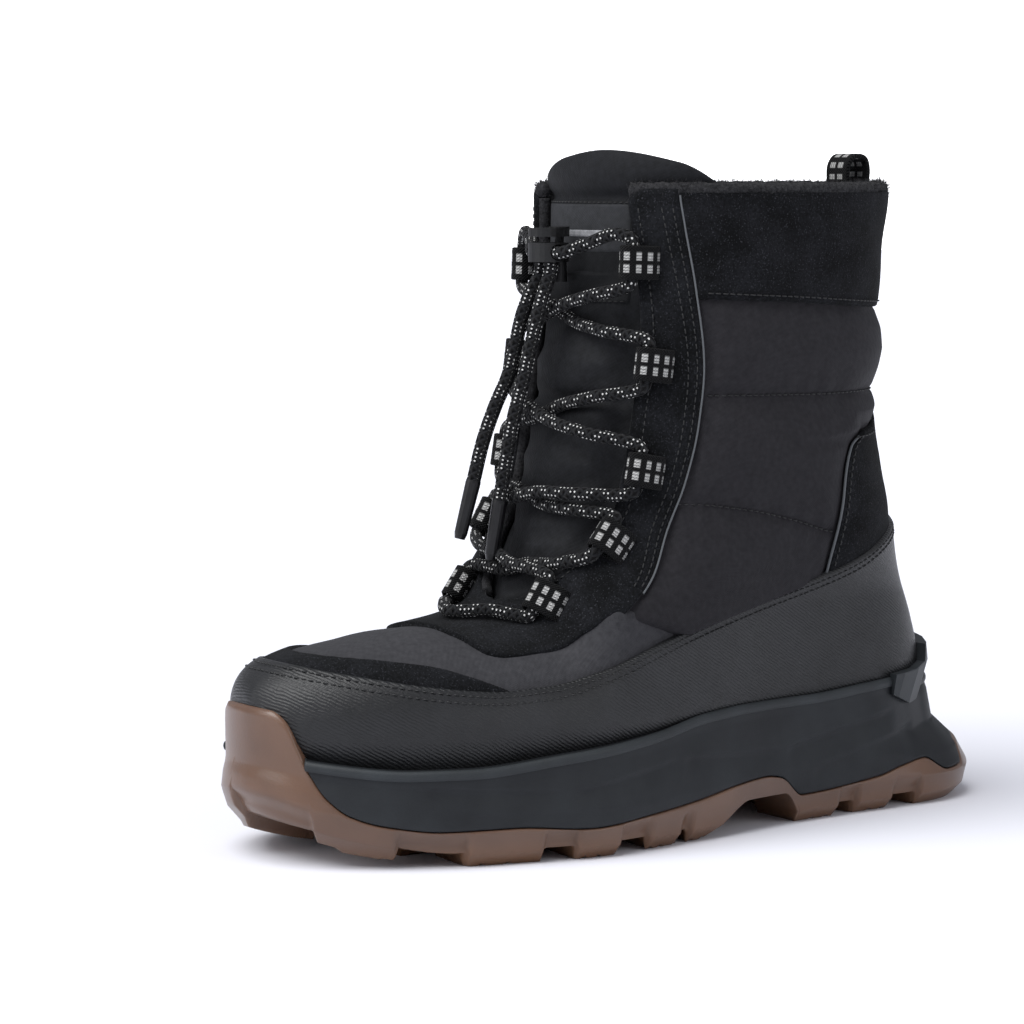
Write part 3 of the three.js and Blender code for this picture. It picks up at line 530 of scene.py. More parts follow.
def fine_grid(bottom, top, rows, columns, start=None, end=None):
    """Levels and angles of a grid; `bottom` and `top` are numbers, or functions of the angle."""
    if start is None:
        a = np.sort(np.append(around_even(columns), TURN) - math.pi)
    else:
        a = np.linspace(start, end, columns)
    low, high = (line(a) if callable(line) else np.full_like(a, line) for line in (bottom, top))
    v = low + (high - low) * np.linspace(0, 1, rows)[:, None]
    return v, np.broadcast_to(a, v.shape)


print("panel cutter ready")

# %% [markdown]
# ## Finishes of the upper
# The suede is split leather: buffed, matt, with a short nap that catches light at grazing angles and a
# speckled charcoal colour. The side is a nylon taslan weave over foam. The rand is leather with a thin
# rubbery film, so it has a soft shine and a fine slanting emboss. The collar is a dark polyester fleece.

# %% Suede, nylon, rand leather and fleece
def suede():
    made, tree, shader = material("buffed_split_suede", roughness=0.95, specular=0.08, sheen=0.03)
    place = position_mm(tree)
    nap = noise(tree, place, 1.1, 4, 0.65)
    cloud = noise(tree, place, 14, 3)
    both = node(tree, "Math", {0: nap, 1: cloud}, operation="MULTIPLY_ADD", in_2=0.12)
    colour = ramp_mix(tree, both.outputs[0], "#0b0c0d", "#1b1c1f", 0.28, 0.5)
    fleck = noise(tree, place, 0.55, 2)
    fleck_on = node(tree, "MapRange", {0: fleck}, in_1=0.62, in_2=0.72)
    colour_with(tree, shader, fleck_on.outputs[0], colour, "#36373b")
    bump(tree, shader, nap, 0.3, 0.9)
    return made


def woven_nylon(name, dark, light, thread_mm=0.9):
    """Plain weave; real threads are 0.4 mm apart and are drawn twice as coarse so that they show."""
    made, tree, shader = material(name, roughness=0.7, specular=0.14, sheen=0.02)
    waves = [wave(tree, distance, 2 * thread_mm) for distance in cloth_axes(tree)[:2]]
    weave = node(tree, "Math", {0: waves[0], 1: waves[1]}, operation="MULTIPLY").outputs[0]
    uneven = noise(tree, position_mm(tree), 2.2, 3)
    # The weave relief also darkens the colour a little where the threads dip: painted shade between them; the
    # rest is uneven tone.
    both = node(tree, "Math", {0: weave, 2: uneven}, operation="MULTIPLY_ADD", in_1=0.07).outputs[0]
    tree.links.new(ramp_mix(tree, both, dark, light, 0.25, 0.75), shader.inputs["Base Color"])
    bump(tree, shader, weave, 0.05, 0.6)
    bump(tree, shader, uneven, 0.25, 0.5)
    return made


def rand_leather():
    made, tree, shader = material("film_coated_leather", roughness=0.46, specular=0.42, coat=0.04)
    shader.inputs["Coat Roughness"].default_value = 0.35
    place = position_mm(tree)
    axes = node(tree, "SeparateXYZ", {0: place})
    slant = node(tree, "Math", {0: axes.outputs[1], 2: axes.outputs[2]}, operation="MULTIPLY_ADD", in_1=0.62)
    ripple = noise(tree, place, 5, 2)
    bent = node(tree, "Math", {0: ripple, 2: slant.outputs[0]}, operation="MULTIPLY_ADD", in_1=1.6)
    emboss = wave(tree, bent.outputs[0], 1.25)
    pebble = noise(tree, place, 0.8, 3)
    bump(tree, shader, pebble, 0.22, 0.6)
    bump(tree, shader, emboss, 0.1, 0.55)
    cloud = noise(tree, place, 18, 4)
    tree.links.new(ramp_mix(tree, cloud, "#0f1011", "#1a1b1d", 0.3, 0.7), shader.inputs["Base Color"])
    rough = node(tree, "MapRange", {0: pebble}, in_1=0.3, in_2=0.7, in_3=0.36, in_4=0.52)
    tree.links.new(rough.outputs[0], shader.inputs["Roughness"])
    return made


def fleece(name, dark, light):
    made, tree, shader = material(name, roughness=1.0, specular=0.03, sheen=0.06, sheen_roughness=0.6)
    place = position_mm(tree)
    curl = noise(tree, place, 1.3, 5, 0.7)
    tree.links.new(ramp_mix(tree, curl, dark, light, 0.35, 0.65), shader.inputs["Base Color"])
    bump(tree, shader, curl, 0.9)
    return made


SUEDE = suede()
NYLON = woven_nylon("quilted_nylon_taslan", "#1d1c1f", "#272629")
# The vamp's copy of the nylon is painted lighter: painted light on the top of the toe.
PAINTED_LIGHT_VAMP_NYLON = woven_nylon("vamp_nylon_painted_light", "#2e2e31", "#3a3a3d")
RAND = rand_leather()
FLEECE = fleece("polyester_fleece", "#1b1b1d", "#39393b")
EDGE, _, shader = material("raw_leather_edge", roughness=0.85)
shader.inputs["Base Color"].default_value = paint("#55585b")
THREAD, tree, shader = material("bonded_nylon_thread", roughness=0.55, specular=0.5)
twist = noise(tree, position_mm(tree), 0.4, 2)
tree.links.new(ramp_mix(tree, twist, "#090a0a", "#17181a"), shader.inputs["Base Color"])
print("upper finishes", SUEDE.name, NYLON.name, RAND.name, FLEECE.name)

# %% Outlines of the panels
RAND_TOP = table("y z", [
    (-150, 69), (-138, 66.5), (-120, 63), (-98, 59.5), (-80, 58), (-62, 59), (-45, 63), (-20, 71),
    (5, 77.5), (50, 86.5), (75, 93.5), (98, 102.5), (120, 109),
])
BAND_LOW = table("y z", [(-10, 187.5), (30, 186), (90, 182.5), (120, 182)])
SEAM_HIGH = table("y z", [(-10, 154.4), (60, 153.2), (120, 153)])
SEAM_LOW = table("y z", [(-10, 117.5), (20, 114), (42, 109), (64, 103.5)])
COUNTER_TOP = table("y z", [(60, 139), (78, 139.3), (88, 140.4), (96, 146), (101, 152), (112, 158)])
COUNTER_EDGE = table("z y", [(80, 61.5), (95, 62), (110, 63.4), (124, 65.5), (134, 69), (140, 78)])
THROAT_FOOT, REAR_HALF, FAR_OFF = 82.5, 20, 40.0


def above_line(rows, p, drop=0.0):
    """Signed distance, in mm, above a line z(y)."""
    z = along(rows, "y", "z", p[..., 1])
    slope = (along(rows, "y", "z", p[..., 1] + 1) - along(rows, "y", "z", p[..., 1] - 1)) / 2
    return (p[..., 2] - z - drop) / np.sqrt(1 + slope**2)


def ahead_of(rows, p):
    """Signed distance, in mm, on the toe side of a line y(z)."""
    y = along(rows, "z", "y", p[..., 2])
    slope = (along(rows, "z", "y", p[..., 2] + 1) - along(rows, "z", "y", p[..., 2] - 1)) / 2
    return (y - p[..., 1]) / np.sqrt(1 + slope**2)


def throat_distance(p):
    """How far a point lies outside the throat opening, in mm."""
    lateral = p[..., 0] - along(THROAT, "z", "lateral", p[..., 2])
    medial = -p[..., 0] - along(THROAT, "z", "medial", p[..., 2])
    below = np.hypot(p[..., 0], THROAT_FOOT - p[..., 2])
    beside = np.where(p[..., 2] < THROAT_FOOT, below, np.maximum(lateral, medial))
    return np.where(p[..., 1] > REAR_HALF, FAR_OFF, beside)


print("rand edge is", float(along(RAND_TOP, "y", "z", 0)), "mm up at the middle of the boot")

# %% [markdown]
# ## Rand
# The rand is the mudguard round the foot. It is lasted like the upper and disappears into the sole. Its
# top edge is cut raw and sewn down with two rows of stitches, 2 and 4 mm below the edge.

# %% Rand
RAND_OVERLAP = 3.5


def rand_level(drop):
    """A function of the angle: the v that lies `drop` mm below the rand's top edge."""
    return lambda a: level_of(lambda y: along(RAND_TOP, "y", "z", y) - drop, a)


v, a = fine_grid(0, rand_level(-RAND_OVERLAP), 62, 480)
p = surface(v, a)
at_ball = ease(-100, -60, p[..., 1])
crease = 0.35 * np.sin(p[..., 1] / 9.0 + 0.06 * p[..., 2]) * at_ball * (1 - ease(0, 30, p[..., 1])) * 0.4
rand = cut_panel("rand_skin", v, a, -above_line(RAND_TOP, p), 0.3, 1.8, RAND, crease)
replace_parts(rand, "rand")

# %% [markdown]
# ## Stitches
# Each stitch is a short thread that dips into the leather at both ends. The pitch is 2.6 mm, about ten
# stitches to the inch, as on heavy outdoor boots. A row takes a line of points and their normals.

# %% Stitch rows
STITCH_PITCH = 2.6
STITCH_RADIUS = 0.27
STITCH_FILL = 0.78
STITCH_RINGS, STITCH_SIDES = 5, 6


def stitch_row(name, points, out, height=0.0, pitch=STITCH_PITCH, radius=STITCH_RADIUS):
    run = run_along(points)
    count = int(run[-1] / pitch)
    at = (np.arange(count) + 0.5) * run[-1] / count
    pick = lambda s, values: np.stack([np.interp(s, run, values[:, k]) for k in range(3)], -1)
    steps = np.array([-0.5, -0.36, 0.0, 0.36, 0.5]) * pitch * STITCH_FILL
    rise = np.array([-0.35, 0.12, 0.2, 0.12, -0.35])
    thick = np.array([0.5, 0.95, 1.0, 0.95, 0.5]) * radius
    s = np.clip(at[:, None] + steps, 0, run[-1])
    line_points, normal = pick(s, points), unit(pick(s, out))
    way = line_points[:, -1] - line_points[:, 0]
    way /= np.maximum(np.linalg.norm(way, axis=-1, keepdims=True), 1e-6)
    side = np.cross(normal, way[:, None])
    middle = line_points + normal * (height + rise)[None, :, None]
    turn = np.linspace(0, TURN, STITCH_SIDES, endpoint=False)[:, None]
    ring = np.cos(turn) * side[:, :, None] + np.sin(turn) * normal[:, :, None]
    mesh_points = (middle[:, :, None] + ring * thick[None, :, None, None]).reshape(-1, 3)
    one = grid_faces(STITCH_RINGS, STITCH_SIDES, closed=True)
    first = np.arange(count)[:, None, None] * STITCH_RINGS * STITCH_SIDES
    mesh_piece(name, mesh_points, (one[None] + first).reshape(-1, 4), THREAD)


loop_a = np.linspace(-math.pi, math.pi, 700)
for number, drop in enumerate((2.0, 4.2), 1):
    level = rand_level(drop)(loop_a)
    stitch_row(f"rand_stitches_{number}", on_last(level, loop_a, np.full(700, 2.15)), normals(level, loop_a))
print("rand sewn with two rows")

# %% [markdown]
# ## Nylon sides and vamp
# The side is nylon over foam, quilted with seams that run round the shaft. A seam pulls the foam flat,
# and the cloth puckers beside it. The vamp over the toes is the same cloth, painted lighter: painted
# light on the top of the toe.

# %% Edges of flap and vamp
FLAP_REAR = table("z y", [
    (70, -50), (77, -41), (84, -31), (95, -20), (107, -13.5), (125, -5.5), (145, -0.5), (165, 1.6),
    (190, -0.6), (213, -4), (226, -5.5),
])
FLAP_PLAN = table("y x", [
    (-80.6, 14), (-79.6, 24), (-77.6, 31), (-72.3, 34.8), (-60, 37.8), (-48.3, 41.7), (-42, 45.2), (-36, 48),
    (-25, 56), (-10, 74),
])
FLAP_TOP = 225.4
VAMP_REAR = table("z y", [(56, 4), (70, -8), (75, -20), (80, -34), (90, -50)])
TOE_STRIP_WIDTH = table("y w", [(-150, 10.5), (-118, 10.5), (-100, 9), (-88, 5), (-78, 0.5), (-72, -3)])


def flap_inside(p):
    x_edge = along(FLAP_PLAN, "y", "x", p[..., 1])
    plan = (x_edge - np.abs(p[..., 0] - centre_x(p[..., 1]))) * 0.75
    plan = np.minimum(plan, p[..., 1] + 80.8)
    corner = np.maximum(6 - throat_distance(p), 0) ** 2 / 9
    below_top = FLAP_TOP - p[..., 2] - corner
    return np.minimum.reduce([plan, below_top, ahead_of(FLAP_REAR, p), throat_distance(p)])


def under_flap(p):
    """How far a point is inside the cloth that runs under the rand and the flap, up to the throat."""
    over_rand = above_line(RAND_TOP, p, -RAND_OVERLAP)
    return np.minimum.reduce([over_rand, 3.0 - flap_inside(p), throat_distance(p)])


# %% Nylon shell
CLOTH_LIFT, CLOTH_THICK = -1.2, 0.5


def quilt(p):
    """Puffed foam between the seams, with small puckers along them."""
    seams = [np.abs(above_line(rows, p)) for rows in (SEAM_HIGH, SEAM_LOW)]
    heel_piece = np.minimum(-ahead_of(COUNTER_EDGE, p), -above_line(COUNTER_TOP, p))
    edges = (-above_line(BAND_LOW, p), -ahead_of(FLAP_REAR, p) - 0.5, -heel_piece)
    seams += [np.maximum(far, 0) for far in edges]
    near = np.minimum.reduce(seams)
    puff = 4.9 * (1 - np.exp(-near / 8.5)) - 0.55
    wave = np.sin(p[..., 1] * 0.55 + 1.7 * np.sin(p[..., 1] * 0.13) + p[..., 0] * 0.3)
    pucker = 0.55 * wave * np.exp(-near / 5.0) * ease(0.2, 1.6, near)
    soft = 0.8 * np.sin(p[..., 1] / 15 + p[..., 2] / 21) * np.sin(p[..., 2] / 17 - p[..., 1] / 33)
    return puff + pucker + soft * ease(2, 8, near)


v, a = fine_grid(rand_level(4.0), 12.85, 150, 460)
p = surface(v, a)
side_inside = np.minimum(under_flap(p), np.where(p[..., 2] > 86, np.inf, -ahead_of(VAMP_REAR, p)))
side = cut_panel("quilted_side", v, a, side_inside, CLOTH_LIFT, CLOTH_THICK, NYLON, quilt(p))
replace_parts(side, "upper")

v, a = fine_grid(rand_level(4.0), 7.6, 130, 300, -1.75, 1.75)
p = surface(v, a)
fold = 0.5 * np.sin((p[..., 1] + 0.25 * np.abs(p[..., 0])) / 5.2) * ease(-112, -92, p[..., 1])
flex = fold * ease(0, 18, above_line(RAND_TOP, p))
vamp_inside = np.minimum(under_flap(p), ahead_of(VAMP_REAR, p) + 4)
cut_panel("vamp_cloth", v, a, vamp_inside, CLOTH_LIFT, CLOTH_THICK, PAINTED_LIGHT_VAMP_NYLON, 0.5 + flex)

# %% [markdown]
# ## Suede pieces
# Four suede pieces lie on the cloth: the toe strip above the rand, the flap that carries the lace loops,
# the band under the collar and the piece over the heel. The suede is 1.3 mm thick.

# %% Toe strip
SUEDE_THICK = 1.3
v, a = fine_grid(rand_level(3.0), lambda a: rand_level(3.0)(a) + 1.5, 40, 360, -1.7, 1.7)
p = surface(v, a)
climb = np.concatenate([np.zeros((1, p.shape[1])), np.cumsum(np.linalg.norm(np.diff(p, axis=0), axis=2), 0)])
strip = along(TOE_STRIP_WIDTH, "y", "w", p[..., 1]) + 3.6 - climb
cut_panel("toe_strip", v, a, np.minimum(strip, climb + 1), 0.0, SUEDE_THICK, SUEDE)

# %% Flap, band and heel piece
v, a = fine_grid(2.2, 13.6, 270, 440, -1.95, 1.95)
p = surface(v, a)
dents = 0.35 * np.sin(p[..., 2] / 11 + p[..., 0] / 9) * np.sin(p[..., 1] / 13)
cut_panel("suede_flap", v, a, flap_inside(p), -0.4, SUEDE_THICK, SUEDE, dents * 0.6 + 0.2)

v, a = fine_grid(10.6, 13.08, 60, 420, 0.75, TURN - 0.75)
p = surface(v, a)
band = np.minimum.reduce([above_line(BAND_LOW, p), -ahead_of(FLAP_REAR, p) + 1.5, throat_distance(p)])
swell = 0.5 * np.sin(p[..., 1] / 17 + p[..., 2] / 9) ** 2
cut_panel("collar_band", v, a, band, -0.8, SUEDE_THICK, SUEDE, swell)

v, a = fine_grid(rand_level(4.0), 10.6, 90, 260, 1.5, TURN - 1.5)
p = surface(v, a)
heel_inside = np.minimum.reduce([
    -ahead_of(COUNTER_EDGE, p), -above_line(COUNTER_TOP, p), above_line(RAND_TOP, p, -RAND_OVERLAP),
])
cut_panel("heel_suede", v, a, heel_inside, -0.5, SUEDE_THICK, SUEDE, 0.8 * ease(0, 14, heel_inside))


# %% Seams of the upper
def on_side(y, z, lateral=True):
    """Points and normals of the last on one side, from y and z."""
    half = half_width(y, z, np.full(np.shape(y), lateral))
    sign = 1 if lateral else -1
    at = lambda yy, zz: centre_x(yy) + sign * half_width(yy, zz, np.full(np.shape(yy), lateral))
    dy, dz = (at(y + 0.5, z) - at(y - 0.5, z)), (at(y, z + 0.5) - at(y, z - 0.5))
    n = np.stack([np.full(np.shape(y), sign, float), -sign * dy, -sign * dz], -1)
    return np.stack([centre_x(y) + sign * half, y, z], -1), unit(n)


def beside(rows, by, at, shift, lateral):
    """Points and normals `shift` mm beside a line of the upper, given by its y or its z."""
    moved = along(rows, by, "z" if by == "y" else "y", at) + shift
    return on_side(at, moved, lateral) if by == "y" else on_side(moved, at, lateral)


whole_side = np.linspace(3, 93, 150)
to_heel_piece = np.append(-11, whole_side[whole_side < 62])
flap_z, heel_z = np.linspace(90, 219, 150), np.linspace(91, 137, 60)
SEWN = [
    ("band_seam", BAND_LOW, "y", whole_side, 2.2, 0.9),
    ("quilt_seam_high", SEAM_HIGH, "y", whole_side, 0, -0.75),
    ("quilt_seam_low", SEAM_LOW, "y", to_heel_piece, 0, -0.75),
    ("flap_stitches_1", FLAP_REAR, "z", flap_z, -2.2, 1.05),
    ("flap_stitches_2", FLAP_REAR, "z", flap_z, -5.0, 1.05),
    ("heel_piece_stitches", COUNTER_EDGE, "z", heel_z, 2.0, 1.1),
    ("heel_piece_top_stitches", COUNTER_TOP, "y", np.linspace(71, 88, 24), -2.2, 1.2),
]
EDGED = [
    ("piping", COUNTER_EDGE, np.linspace(88, 137, 60), -0.4, 0.45, 0.5),
    ("flap_edge", FLAP_REAR, np.linspace(88, 223, 150), 0.15, 0.75, 0.35),
]
for word in ("lateral", "medial"):
    for name, rows, by, at, shift, height in SEWN:
        points, out = beside(rows, by, at, shift, word == "lateral")
        stitch_row(f"{name}_{word}", points, out, height)
    for name, rows, at, shift, height, radius in EDGED:
        points, out = beside(rows, "z", at, shift, word == "lateral")
        tube_piece(f"{name}_{word}", points + out * height, radius, 8, EDGE)
print("upper sewn")

# %% [markdown]
# ## Sole
# The sole has two parts. The outsole is gum rubber, moulded in one shot with its lugs, and it climbs over
# the toe as a bumper. The midsole is dark injected foam with a raised lip along its top edge. Both are
# made as a grid that follows the outline, so their walls curve smoothly and the lugs have soft corners.

# %% Sole tables
OUTLINE = table("y lateral medial", [
    (-80, 52.9, 54.1), (-45, 56.9, 51.1), (0, 52, 44.5), (45, 45, 40), (90, 43, 40.5), (140, 42.5, 40),
])
SPRING = table("y z", [(-153, 14), (-140, 9), (-122, 4), (-98, 0), (138, 0), (153, 4)])
ARCH = table("y z", [(0, 0), (8, 4), (22, 12), (40, 12), (48, 4), (49.5, 0)])
LIP = table("y z", [
    (-152, 40), (-139, 36.5), (-111, 33.5), (-94, 33.5), (-59, 37), (-23, 41), (1, 45), (23, 46), (51, 46),
    (93, 48.3), (107, 43), (122, 44), (152, 45),
])
GUM_TOP = table("y z", [
    (-160, 54.5), (-149, 53), (-146, 49.5), (-143, 40), (-140, 31), (-136, 24), (-130, 18.5), (-120, 15),
    (-102, 12.7), (-80, 12.7), (-51, 10.8), (-28, 12.7), (-6, 14.8), (16, 18), (30, 19), (38, 17.8),
    (49, 10.3), (85, 12.9), (98, 15.8), (110, 17.3), (122, 12), (132, 12.5), (141, 20), (160, 23),
])
SIDE_LUGS = [(-160, -117, 0), (-98, -71, 7), (-59, -41, 7), (-28, -13, 7), (-8, 7, 5), (51, 71, -6),
             (80, 97, -6), (110, 160, -6)]
CENTRE_LUGS = [(-108, -90, 7), (-82, -64, 7), (-56, -38, 7), (-30, -14, 6), (60, 76, -5), (84, 100, -5),
               (108, 122, -4)]
TREAD_DEPTH, LUG_INNER, CENTRE_HALF = 5.0, 17.0, 12.0
SOLE_COLUMNS = 760


# %% Outline and wall of the sole
def outline(a):
    s = (1 - np.cos(a)) / 2
    lateral = np.sin(a) >= 0
    y = lerp(TOE_Y, HEEL_Y, s)
    toe = cap((y - TOE_Y) / (np.where(lateral, -38, -72) - TOE_Y), 2.5, 2)
    heel = cap((HEEL_Y - y) / 46, 2.3, 2)
    half = np.where(lateral, along(OUTLINE, "y", "lateral", y), along(OUTLINE, "y", "medial", y)) * toe * heel
    return np.stack([centre_x(y) + np.where(lateral, half, -half), y], -1)


probe = np.linspace(0, TURN, 4001)
run = run_along(outline(probe))
SOLE_RUN = np.linspace(0, run[-1], SOLE_COLUMNS, endpoint=False)
sole_a = np.interp(SOLE_RUN, run, probe)
EDGE_XY = outline(sole_a)
tangent = unit(outline(sole_a + 0.04) - outline(sole_a - 0.04))
OUTWARD = np.stack([tangent[:, 1], -tangent[:, 0]], 1)
REAR = ease(82, 128, EDGE_XY[:, 1])
lug_z, lip_z = along(SPRING, "y", "z", EDGE_XY[:, 1]), along(LIP, "y", "z", EDGE_XY[:, 1])
gum_z = along(GUM_TOP, "y", "z", EDGE_XY[:, 1])
BUMPER = np.maximum(lip_z, lerp(lip_z, 56, 1 - ease(-135, -115, EDGE_XY[:, 1])))
ring_z = [lug_z, lug_z + 4.5, lerp(lug_z + 9, 20, 0.2), lerp(lug_z, lip_z, 0.42), lerp(lug_z, lip_z, 0.62),
          lip_z - 6, lip_z - 1.5, lip_z]
ring_side = [6, 2, 0.6, 0, 0.6, 1.6, 1.2, 2.4]
ring_rear = [6, 1.5, 0, 4, 13, 15, 16.5, 17.5]


def wall_point(z, extra, tall=False):
    """Points of the sole's wall at heights z (rows by columns); `tall` follows the toe bumper."""
    heights = np.stack(ring_z[:6] + ([BUMPER - 3, BUMPER] if tall else ring_z[6:]))
    sides = ring_side[:6] + ([1.4, 4.0] if tall else ring_side[6:])
    inset = np.empty_like(z)
    for k in range(SOLE_COLUMNS):
        rows = lerp(np.array(sides), np.array(ring_rear), REAR[k])
        at = np.maximum.accumulate(heights[:, k] + np.arange(8) * 1e-6)
        inset[:, k] = np.interp(z[:, k], at, rows)
    xy = EDGE_XY[None] - OUTWARD[None] * (inset + extra)[..., None]
    return np.concatenate([xy, z[..., None]], -1)


print("sole outline", round(float(run[-1])), "mm round")

# %% [markdown]
# The gum wall is recessed between the lugs, and each lug has two short notches in its lower edge. The
# wall then turns under the boot and runs to the middle as the tread, with side lugs and arrow lugs.

# %% Outsole
def lug_mask(x, y):
    """1 on a lug, 0 in the grooves."""
    soft = lambda d: ease(-0.6, 0.6, d)
    off = np.abs(x)
    total = np.zeros_like(x)
    for low, high, rake in SIDE_LUGS:
        bend = rake * np.clip((70 - off) / 53, 0, 1)
        total = np.maximum(total, soft(y - low - bend) * soft(high + bend - y) * soft(off - LUG_INNER))
    for low, high, rake in CENTRE_LUGS:
        bend = rake * off / CENTRE_HALF
        total = np.maximum(total, soft(y - low - bend) * soft(high + bend - y) * soft(CENTRE_HALF - off))
    return total


def notches(y):
    """Two short notches in the lower edge of each side lug."""
    depth = np.zeros_like(y)
    for low, high, _ in SIDE_LUGS[1:-1]:
        for share in (0.33, 0.67):
            depth += np.exp(-(((y - lerp(low, high, share)) / 0.8) ** 2))
    return depth


on_lug = lug_mask(EDGE_XY[:, 0], EDGE_XY[:, 1])
arch = along(ARCH, "y", "z", EDGE_XY[:, 1])
foot_z = np.maximum(lug_z + TREAD_DEPTH * (1 - on_lug) + 1.7 * on_lug * notches(EDGE_XY[:, 1]), arch)
top_z = np.minimum(gum_z, np.where(EDGE_XY[:, 1] < -115, BUMPER, gum_z))
t = np.linspace(0, 1, 34)[:, None] ** 0.9
z = lerp(top_z, np.minimum(foot_z, top_z - 1), t)
recess = 2.4 * (1 - on_lug) * (1 - ease(lug_z + 6, lug_z + 13, z)) * (arch < 1)
wall = wall_point(z, recess + 0.8 * (1 - ease(0, 0.06, t)) ** 2, tall=True)
hidden = wall_point(top_z[None] - 0.4, 5.0, tall=True)
edge = wall[-1]
spine_y = np.clip(edge[:, 1], TOE_Y + 34, HEEL_Y - 34)
spine = np.stack([centre_x(spine_y), spine_y], 1)
share = np.linspace(0, 1, 42)[1:, None, None]
under_xy = lerp(edge[None, :, :2], spine[None], share)
x, y = under_xy[..., 0], under_xy[..., 1]
under_z = along(SPRING, "y", "z", y) + TREAD_DEPTH * (1 - lug_mask(x, y))
under_z = np.maximum(under_z, along(ARCH, "y", "z", y))
under_z[0] = lerp(edge[:, 2], under_z[0], 0.5)
under = np.concatenate([under_xy, under_z[..., None]], -1)
sole_points = np.concatenate([hidden, wall, under])
sole_points[..., 2] = np.maximum(sole_points[..., 2], 0.0)
print("tread", under.shape[0], "rows of", SOLE_COLUMNS)

# %% Gum rubber
def gum_rubber():
    made, tree, shader = material("moulded_gum_rubber", roughness=0.34, specular=0.5, coat=0.12)
    shader.inputs["Coat Roughness"].default_value = 0.25
    shader.inputs["Subsurface Weight"].default_value = 0.12
    shader.inputs["Subsurface Radius"].default_value = (0.006, 0.003, 0.0015)
    place = position_mm(tree)
    cloud = noise(tree, place, 30, 3)
    colour = ramp_mix(tree, cloud, "#543e31", "#664c3c", 0.3, 0.7)
    # The lowest 9 mm of the gum are painted amber: painted glow of light through the thin rubber by the
    # floor.
    height = node(tree, "SeparateXYZ", {0: place}).outputs[2]
    low = node(tree, "MapRange", {0: height}, in_1=9.0, in_2=1.0)
    colour_with(tree, shader, low.outputs[0], colour, "#68482f")
    bump(tree, shader, noise(tree, place, 0.9, 3), 0.08, 0.6)
    return made


GUM = gum_rubber()
uv = np.stack(np.broadcast_arrays(SOLE_RUN[None], sole_points[..., 2]), -1).reshape(-1, 2)
faces = grid_faces(len(sole_points), SOLE_COLUMNS, closed=True)[:, ::-1]
gum = mesh_piece("gum_outsole", sole_points.reshape(-1, 3), faces, GUM, uv)
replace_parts(gum, "outsole")

# %% [markdown]
# The midsole's wall carries a few soft angular creases, as moulds for sports soles have, and a faint
# stipple all over. At the rear its lower part steps in behind a slanting edge. The lip is a thin rounded
# band.

# %% Midsole
def moulded_foam(name, dark, light, roughness):
    made, tree, shader = material(name, roughness=roughness, specular=0.25)
    place = position_mm(tree)
    cloud = noise(tree, place, 22, 3)
    tree.links.new(ramp_mix(tree, cloud, dark, light, 0.3, 0.7), shader.inputs["Base Color"])
    bump(tree, shader, noise(tree, place, 0.7, 2), 0.1, 0.5)
    return made


FOAM = moulded_foam("moulded_eva_foam", "#1c1e21", "#26292c", 0.55)
LIP_FOAM = moulded_foam("moulded_eva_lip", "#282b2d", "#323639", 0.5)
CREASE_SHARP, CREASE_FADE = 1.4, 5.0
CREASES = [(-112, 27, -60, 23, 0.8), (-60, 23, -12, 30, 0.9), (-12, 30, 40, 27, 0.8), (40, 27, 96, 36, 1.0),
           (52, 18, 110, 30, 0.7), (-96, 17, -40, 16, 0.5)]
t = np.linspace(0, 1, 40)[:, None]
base_z = np.minimum(gum_z + 0.4, lip_z - 1.0)
z = lerp(base_z, lip_z - 0.6, t)
yy = np.broadcast_to(EDGE_XY[:, 1], z.shape)


def crease_line(y0, z0, y1, z1, depth):
    """A soft step along a straight line on the wall: sharp on its upper side, fading below."""
    length = math.hypot(y1 - y0, z1 - z0)
    along_it = ((yy - y0) * (y1 - y0) + (z - z0) * (z1 - z0)) / length
    off = ((z - z0) * (y1 - y0) - (yy - y0) * (z1 - z0)) / length
    ends = ease(-1, 6, along_it) * ease(-1, 6, length - along_it)
    sharp, fading = 1 - ease(0, CREASE_SHARP, off), np.exp(-((off / CREASE_FADE) ** 2))
    return depth * ends * np.where(off > 0, sharp, fading)


relief = sum(crease_line(*row) for row in CREASES)
lateral_only = 0.35 + 0.65 * (EDGE_XY[:, 0] > 0)
midsole_wall = wall_point(z, relief * lateral_only + 0.25)
buried = (gum_z > lip_z - 1.0)[None, :, None]
inward = np.concatenate([-OUTWARD, np.zeros((SOLE_COLUMNS, 1))], 1)[None]
midsole_wall = midsole_wall + inward * np.where(buried, 3.0, 0.0)
shelf = [midsole_wall[-1:] + inward * d + np.array([0, 0, 0.2]) for d in (1.0, 3.0, 6.0)]
footing = [midsole_wall[:1] + inward * 4.0]
midsole_points = np.concatenate(footing + [midsole_wall] + shelf)
uv = np.stack(np.broadcast_arrays(SOLE_RUN[None], midsole_points[..., 2]), -1).reshape(-1, 2)
faces = grid_faces(len(midsole_points), SOLE_COLUMNS, closed=True)
midsole = mesh_piece("foam_midsole", midsole_points.reshape(-1, 3), faces, FOAM, uv)
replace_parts(midsole, "midsole")

